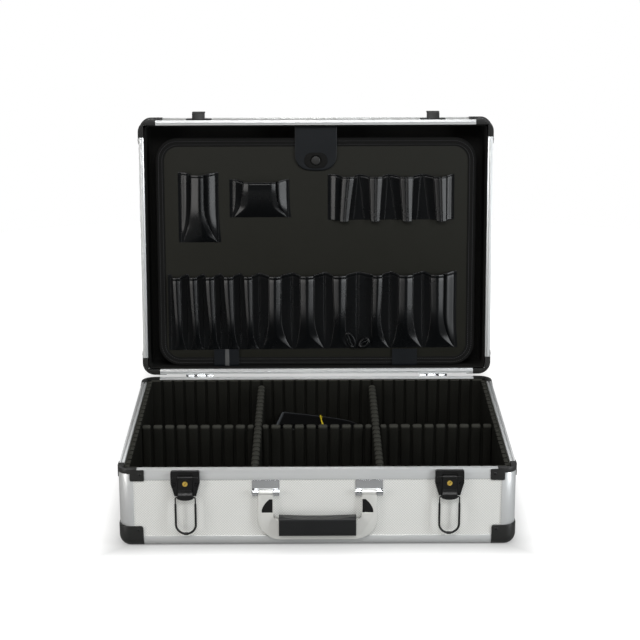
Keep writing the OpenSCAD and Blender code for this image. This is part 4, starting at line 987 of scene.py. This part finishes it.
def tongue():
    """The vinyl tab that buttons on the pallet's stud: a padded tab with a turned edge."""
    half, foot, top, radius, hole = 27.3, STUD_B - 13, CASE_D - 8.3, 20, 6.7
    outline = [(half, top), (half, top - 18), (half, foot + radius)]
    outline += [(half - radius + radius * math.cos(a), foot + radius - radius * math.sin(a))
                for a in (math.radians(90 * k / 8) for k in range(1, 9))]
    outline += [(-x, b) for x, b in reversed(outline)]
    count = len(outline)

    def inset(k, d):
        x, b = outline[k]
        if b > foot + radius:
            return x - math.copysign(min(d, abs(x)), x), b
        cx = math.copysign(half - radius, x) if abs(x) > 1e-6 else 0
        vx, vb = x - cx, b - (foot + radius)
        size = math.hypot(vx, vb) or 1
        if abs(x) <= half - radius + 1e-6:
            return x, b + d
        return x - vx / size * d, b - vb / size * d
    rings = [[inset(k, d) + (out,) for k in range(count)]
             for d, out in ((0.0, 1.25), (0.0, 2.45), (0.5, 2.8), (1.4, 2.9), (2.4, 2.92))]
    last = rings[-1]
    for share in (0.25, 0.5, 0.75, 1.0):
        ring = []
        for k in range(count):
            x, b, _ = last[k]
            size = math.hypot(x, b - STUD_B)
            tx, tb = x / size * hole, STUD_B + (b - STUD_B) / size * hole
            ring.append((x + (tx - x) * share, b + (tb - b) * share, 2.85 if share < 1 else 2.6))
        rings.append(ring)
    rings.append([(x, b, 1.3) for x, b, _ in rings[-1]])
    verts = [pallet_point(*p) for ring in rings for p in ring]
    last = (len(rings) - 1) * count
    faces = grid_faces(len(rings), count, loop=True) + [(k, j, last + j, last + k) for k, j in ring_edges(count)]
    tab = piece("snap_tongue_vinyl", verts, faces, TONGUE, "tongue", angle=60)
    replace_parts(tab, "snap_tongue")
    refined("tongue_plate", MATT_PLATE, 0.4, 3)


tongue()


def pallet_strap(index, x):
    """A short vinyl strap from the lid's lining round the pallet's lower edge to its face."""
    half = 16.5
    line = [(8.35, 19.0), (8.3, 15.5), (8.3, 12.8), (8.5, 11.4), (9.3, 10.6), (11, 10.45), (14, 10.6), (20, 10.8),
            (26, 10.8), (31, 10.9)]
    columns = [-half, -half + 0.8, -3.4, -1.8, 0, 1.8, 3.4, half - 0.8, half]
    # The left one keeps a crease along its middle
    verts = [lid_point(x + c, b, d - (0.85 if index == 0 and c == 0 and d < 11.5 and b > 12 else 0.0))
             for b, d in line for c in columns]
    uvs = [((c + 20) * MM, i * 3 * MM) for i in range(len(line)) for c in columns]
    strap = piece("pallet_strap_%d" % index, verts, grid_faces(len(line), len(columns)), TONGUE, None,
                  uvs)
    # The faces along the crease get the paler finish: a painted highlight
    if index == 0:
        strap.data.materials.append(CREASE_HIGHLIGHT)
        for face in strap.data.polygons:
            middle = sum(columns[v % len(columns)] for v in face.vertices) / len(face.vertices)
            face.material_index = 1 if -1.8 < middle < 3.4 else 0
    thickened(strap, 1.1, 1.0, 50)
    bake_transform(strap)
    return strap


straps = [pallet_strap(i, x) for i, x in enumerate((-119, 116.5))]
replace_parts(straps[0], "pallet_straps")


# ---- the folded shoulder strap ----

STRAP_FOOT, STRAP_BACK, STRAP_W = FOAM_FLOOR + 0.3, CASE_D / 2 - FOAM_IN - 1.5, 38
STRAP_Y = STRAP_BACK - STRAP_W / 2
BAND_X, BAND_H = 7, 40.2


def strap_top(x):
    """Height of the folded strap above its foot."""
    spots = [(-60, 43), (-46, 46.3), (-27, 44.5), (5, 39.4), (24, 37.6), (42.6, 33.6), (60, 25.5)]
    for (x0, z0), (x1, z1) in zip(spots, spots[1:]):
        if x <= x1:
            return z0 + (z1 - z0) * max(0.0, (x - x0) / (x1 - x0))
    return spots[-1][1]


def folded_strap():
    """The strap's webbing, folded to and fro in a stack that leans at one end."""
    layers, line = 12, []
    for k in range(layers):
        share = (k + 0.35) / layers
        left = -54.5 + 11 * ease((share - 0.55) / 0.45) + 0.9 * math.sin(k * 2.1)
        right = 54.2 - 1.4 * share - 0.9 * math.cos(k * 1.7)
        ends = (left, right) if k % 2 == 0 else (right, left)
        for step in range(9):
            x = ends[0] + (ends[1] - ends[0]) * step / 8
            line.append((x, STRAP_FOOT + 1 + share * (strap_top(x) - 2.2) + 0.35 * math.sin(k * 1.3 + x / 9)))
        if k < layers - 1:
            turn = math.copysign(1.2, ends[1])
            line.append((ends[1] + turn, STRAP_FOOT + 1 + (share + 0.5 / layers) * (strap_top(ends[1]) - 2.2)))
    # The loose end hangs over the left side of the stack, from a fold with a painted highlight
    x, z = line.pop()
    line += [(x + 1.4, z), (x, z - 0.1), (x - 1.0, z - 0.9), (x - 5, z - 7), (x - 8.5, z - 15)]
    fold = len(line) - 4
    across = [-STRAP_W / 2 + c for c in (0.3, 1.3, STRAP_W / 2, STRAP_W - 1.3, STRAP_W - 0.3)]
    lengths = [0.0]
    for (xa, za), (xb, zb) in zip(line, line[1:]):
        lengths.append(lengths[-1] + math.hypot(xb - xa, zb - za))

    def laid(x, z, c):
        # The left end lies askew: its front corner reaches further out and sinks
        askew = ease((-x - 15) / 35) * (0.5 - c / STRAP_W)
        return Vector((x - 7.5 * askew, STRAP_Y + c + 0.5 * math.sin(x / 23 + z / 5),
                       z - 4 * askew * z / 56)) * MM
    verts = [laid(x, z, c) for x, z in line for c in across]
    uvs = [(length * MM, (c + STRAP_W) * MM) for length in lengths for c in across]
    webbing = piece("folded_strap_webbing", verts, grid_faces(len(line), len(across)), WEBBING, uvs=uvs)
    # The fold, and one edge of the top layer below it, get a painted highlight
    painted_fold_highlight = webbing.data.attributes.new("painted_fold_highlight", "FLOAT", "POINT")
    for j in range(len(across)):
        painted_fold_highlight.data[fold * len(across) + j].value = 1.0
    for i in range(fold - 9, fold + 1):
        painted_fold_highlight.data[(i + 1) * len(across) - 1].value = 0.6
    subdivided(webbing, 1)
    thickened(webbing, 1.5, 0.0, 50)
    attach(webbing, "base")
    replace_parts(webbing, "strap_bundle")


def strap_band():
    """The rubber band round the folded strap, slanting a little over its top."""
    half, high, corner, points = STRAP_W / 2 - 0.4, BAND_H - 0.4, 7.0, []
    for sy, sz, start in ((-1, 1, 90), (-1, 0, 180), (1, 0, 270), (1, 1, 0)):
        for k in range(7):
            a = math.radians(start + 15 * k)
            points.append((sy * (half - corner) + corner * math.cos(a),
                           (high - corner if sz else corner) + corner * math.sin(a)))
    verts = [Vector((BAND_X + 1.2 - 5.0 * ease((z - 30) / 16) * ease((y + half + 3) / 20), STRAP_Y + y,
                     STRAP_FOOT + 0.2 + z)) * MM for y, z in points]
    band = grown("rubber_band_loop", WIRE, verts, [], ring_edges(len(verts)), YELLOW, "base",
                 "yellow_rubber", [1.1 * MM] * len(verts), Sides=10)
    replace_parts(band, "rubber_band")


folded_strap()
strap_band()


# ---- camera, light and floor ----

CAMERA_AT = (-3.37, -2072.08, 839.69)
CAMERA_PITCH, CAMERA_YAW, CAMERA_ROLL, CAMERA_LENS = 16.542, 0.2052, -0.1498, 100.503
camera_data = bpy.data.cameras.new("camera")
camera_data.lens, camera_data.sensor_width = CAMERA_LENS, 36
camera = linked("camera", camera_data)
camera.matrix_world = (
    Matrix.Translation(Vector(CAMERA_AT) * MM) @ Matrix.Rotation(math.radians(-CAMERA_YAW), 4, "Z")
    @ Matrix.Rotation(math.radians(90 - CAMERA_PITCH), 4, "X") @ Matrix.Rotation(math.radians(CAMERA_ROLL), 4, "Z"))
bpy.context.scene.camera = camera


def lamp(name, at, aim, size, watts, tint):
    data = bpy.data.lights.new(name, "AREA")
    data.shape, data.energy, data.color = "RECTANGLE", watts, tint
    data.size, data.size_y = size
    obj = linked(name, data)
    obj.location = at
    obj.rotation_euler = (Vector(aim) - Vector(at)).to_track_quat("-Z", "Y").to_euler()


# Tall side boxes draw the long highlights on the vinyl, and the box above lights the shell
lamp("left_softbox", (-2.0, -1.3, 0.9), (0, 0, 0.9), (0.8, 2.0), 37, (1.0, 0.98, 0.96))
lamp("right_softbox", (2.0, -1.3, 0.9), (0, 0, 0.9), (0.8, 2.0), 55, (0.95, 0.98, 1.0))
lamp("key_softbox", (0, -2.0, 1.9), (0, 0, 0.1), (1.4, 0.8), 42, (1.0, 1.0, 1.0))
lamp("top_softbox", (0, 0.1, 2.3), (0, 0, 0), (0.8, 0.6), 8, (1.0, 1.0, 1.0))
lamp("back_softbox", (-0.3, 2.1, 2.1), (0, 0, 0.2), (2.4, 1.0), 14, (1.0, 1.0, 1.0))

world = bpy.data.worlds.new("studio")
bpy.context.scene.world = world
world.use_nodes = True
tree = world.node_tree
tree.nodes.clear()
path = add(tree, "ShaderNodeLightPath")
# A bright sweep above and behind, and a dim room in front that black and chrome pieces mirror
way = split(tree, add(tree, "ShaderNodeTexCoord").outputs["Generated"])
room = remap(tree, way["Y"], -0.2, 0.6, 0.02, 0.18, smooth=True)
level = maths(tree, "MAXIMUM", room, path.outputs["Is Camera Ray"])
back = add(tree, "ShaderNodeBackground", inputs={"Color": (1, 1, 1, 1), "Strength": level})
add(tree, "ShaderNodeOutputWorld", inputs={0: back.outputs[0]})

floor_data = bpy.data.meshes.new("floor")
FLOOR_R, FLOOR_SIDES = 1.5, 96
turns = [math.pi * k / (FLOOR_SIDES / 2) for k in range(FLOOR_SIDES)]
floor_data.from_pydata([(FLOOR_R * math.cos(a), FLOOR_R * math.sin(a), 0) for a in turns], [],
                       [tuple(range(FLOOR_SIDES))])
floor = linked("floor", floor_data)
paper, tree, coord = material("white_paper_floor")
bump = bumped(tree, noise(tree, coord, 400.0), 0.05, 0.2)
# The paper glows towards its rim, so that it runs into the white beyond it without an edge
# It glows least in a patch that stays where it is in every pose, under the open case and behind it: a painted
# shadow on the floor
way = split(tree, coord["Object"])
aside = maths(tree, "ABSOLUTE", way["X"])
glow = 0.0
for value, near, far in ((aside, 0.21, 0.29), (way["Y"], -0.15, -0.23), (way["Y"], 0.34, 0.8)):
    glow = maths(tree, "MAXIMUM", remap(tree, value, near, far, 0.3, 1.05, smooth=True), glow)
path = add(tree, "ShaderNodeLightPath")
lift = maths(tree, "MULTIPLY", path.outputs["Is Camera Ray"], glow)
shade(tree, Base_Color=linear("#929291"), Roughness=0.9, Normal=bump,
      Emission_Color=(1, 1, 1, 1), Emission_Strength=lift)
floor_data.materials.append(paper)
bpy.context.scene.view_settings.view_transform = "Standard"
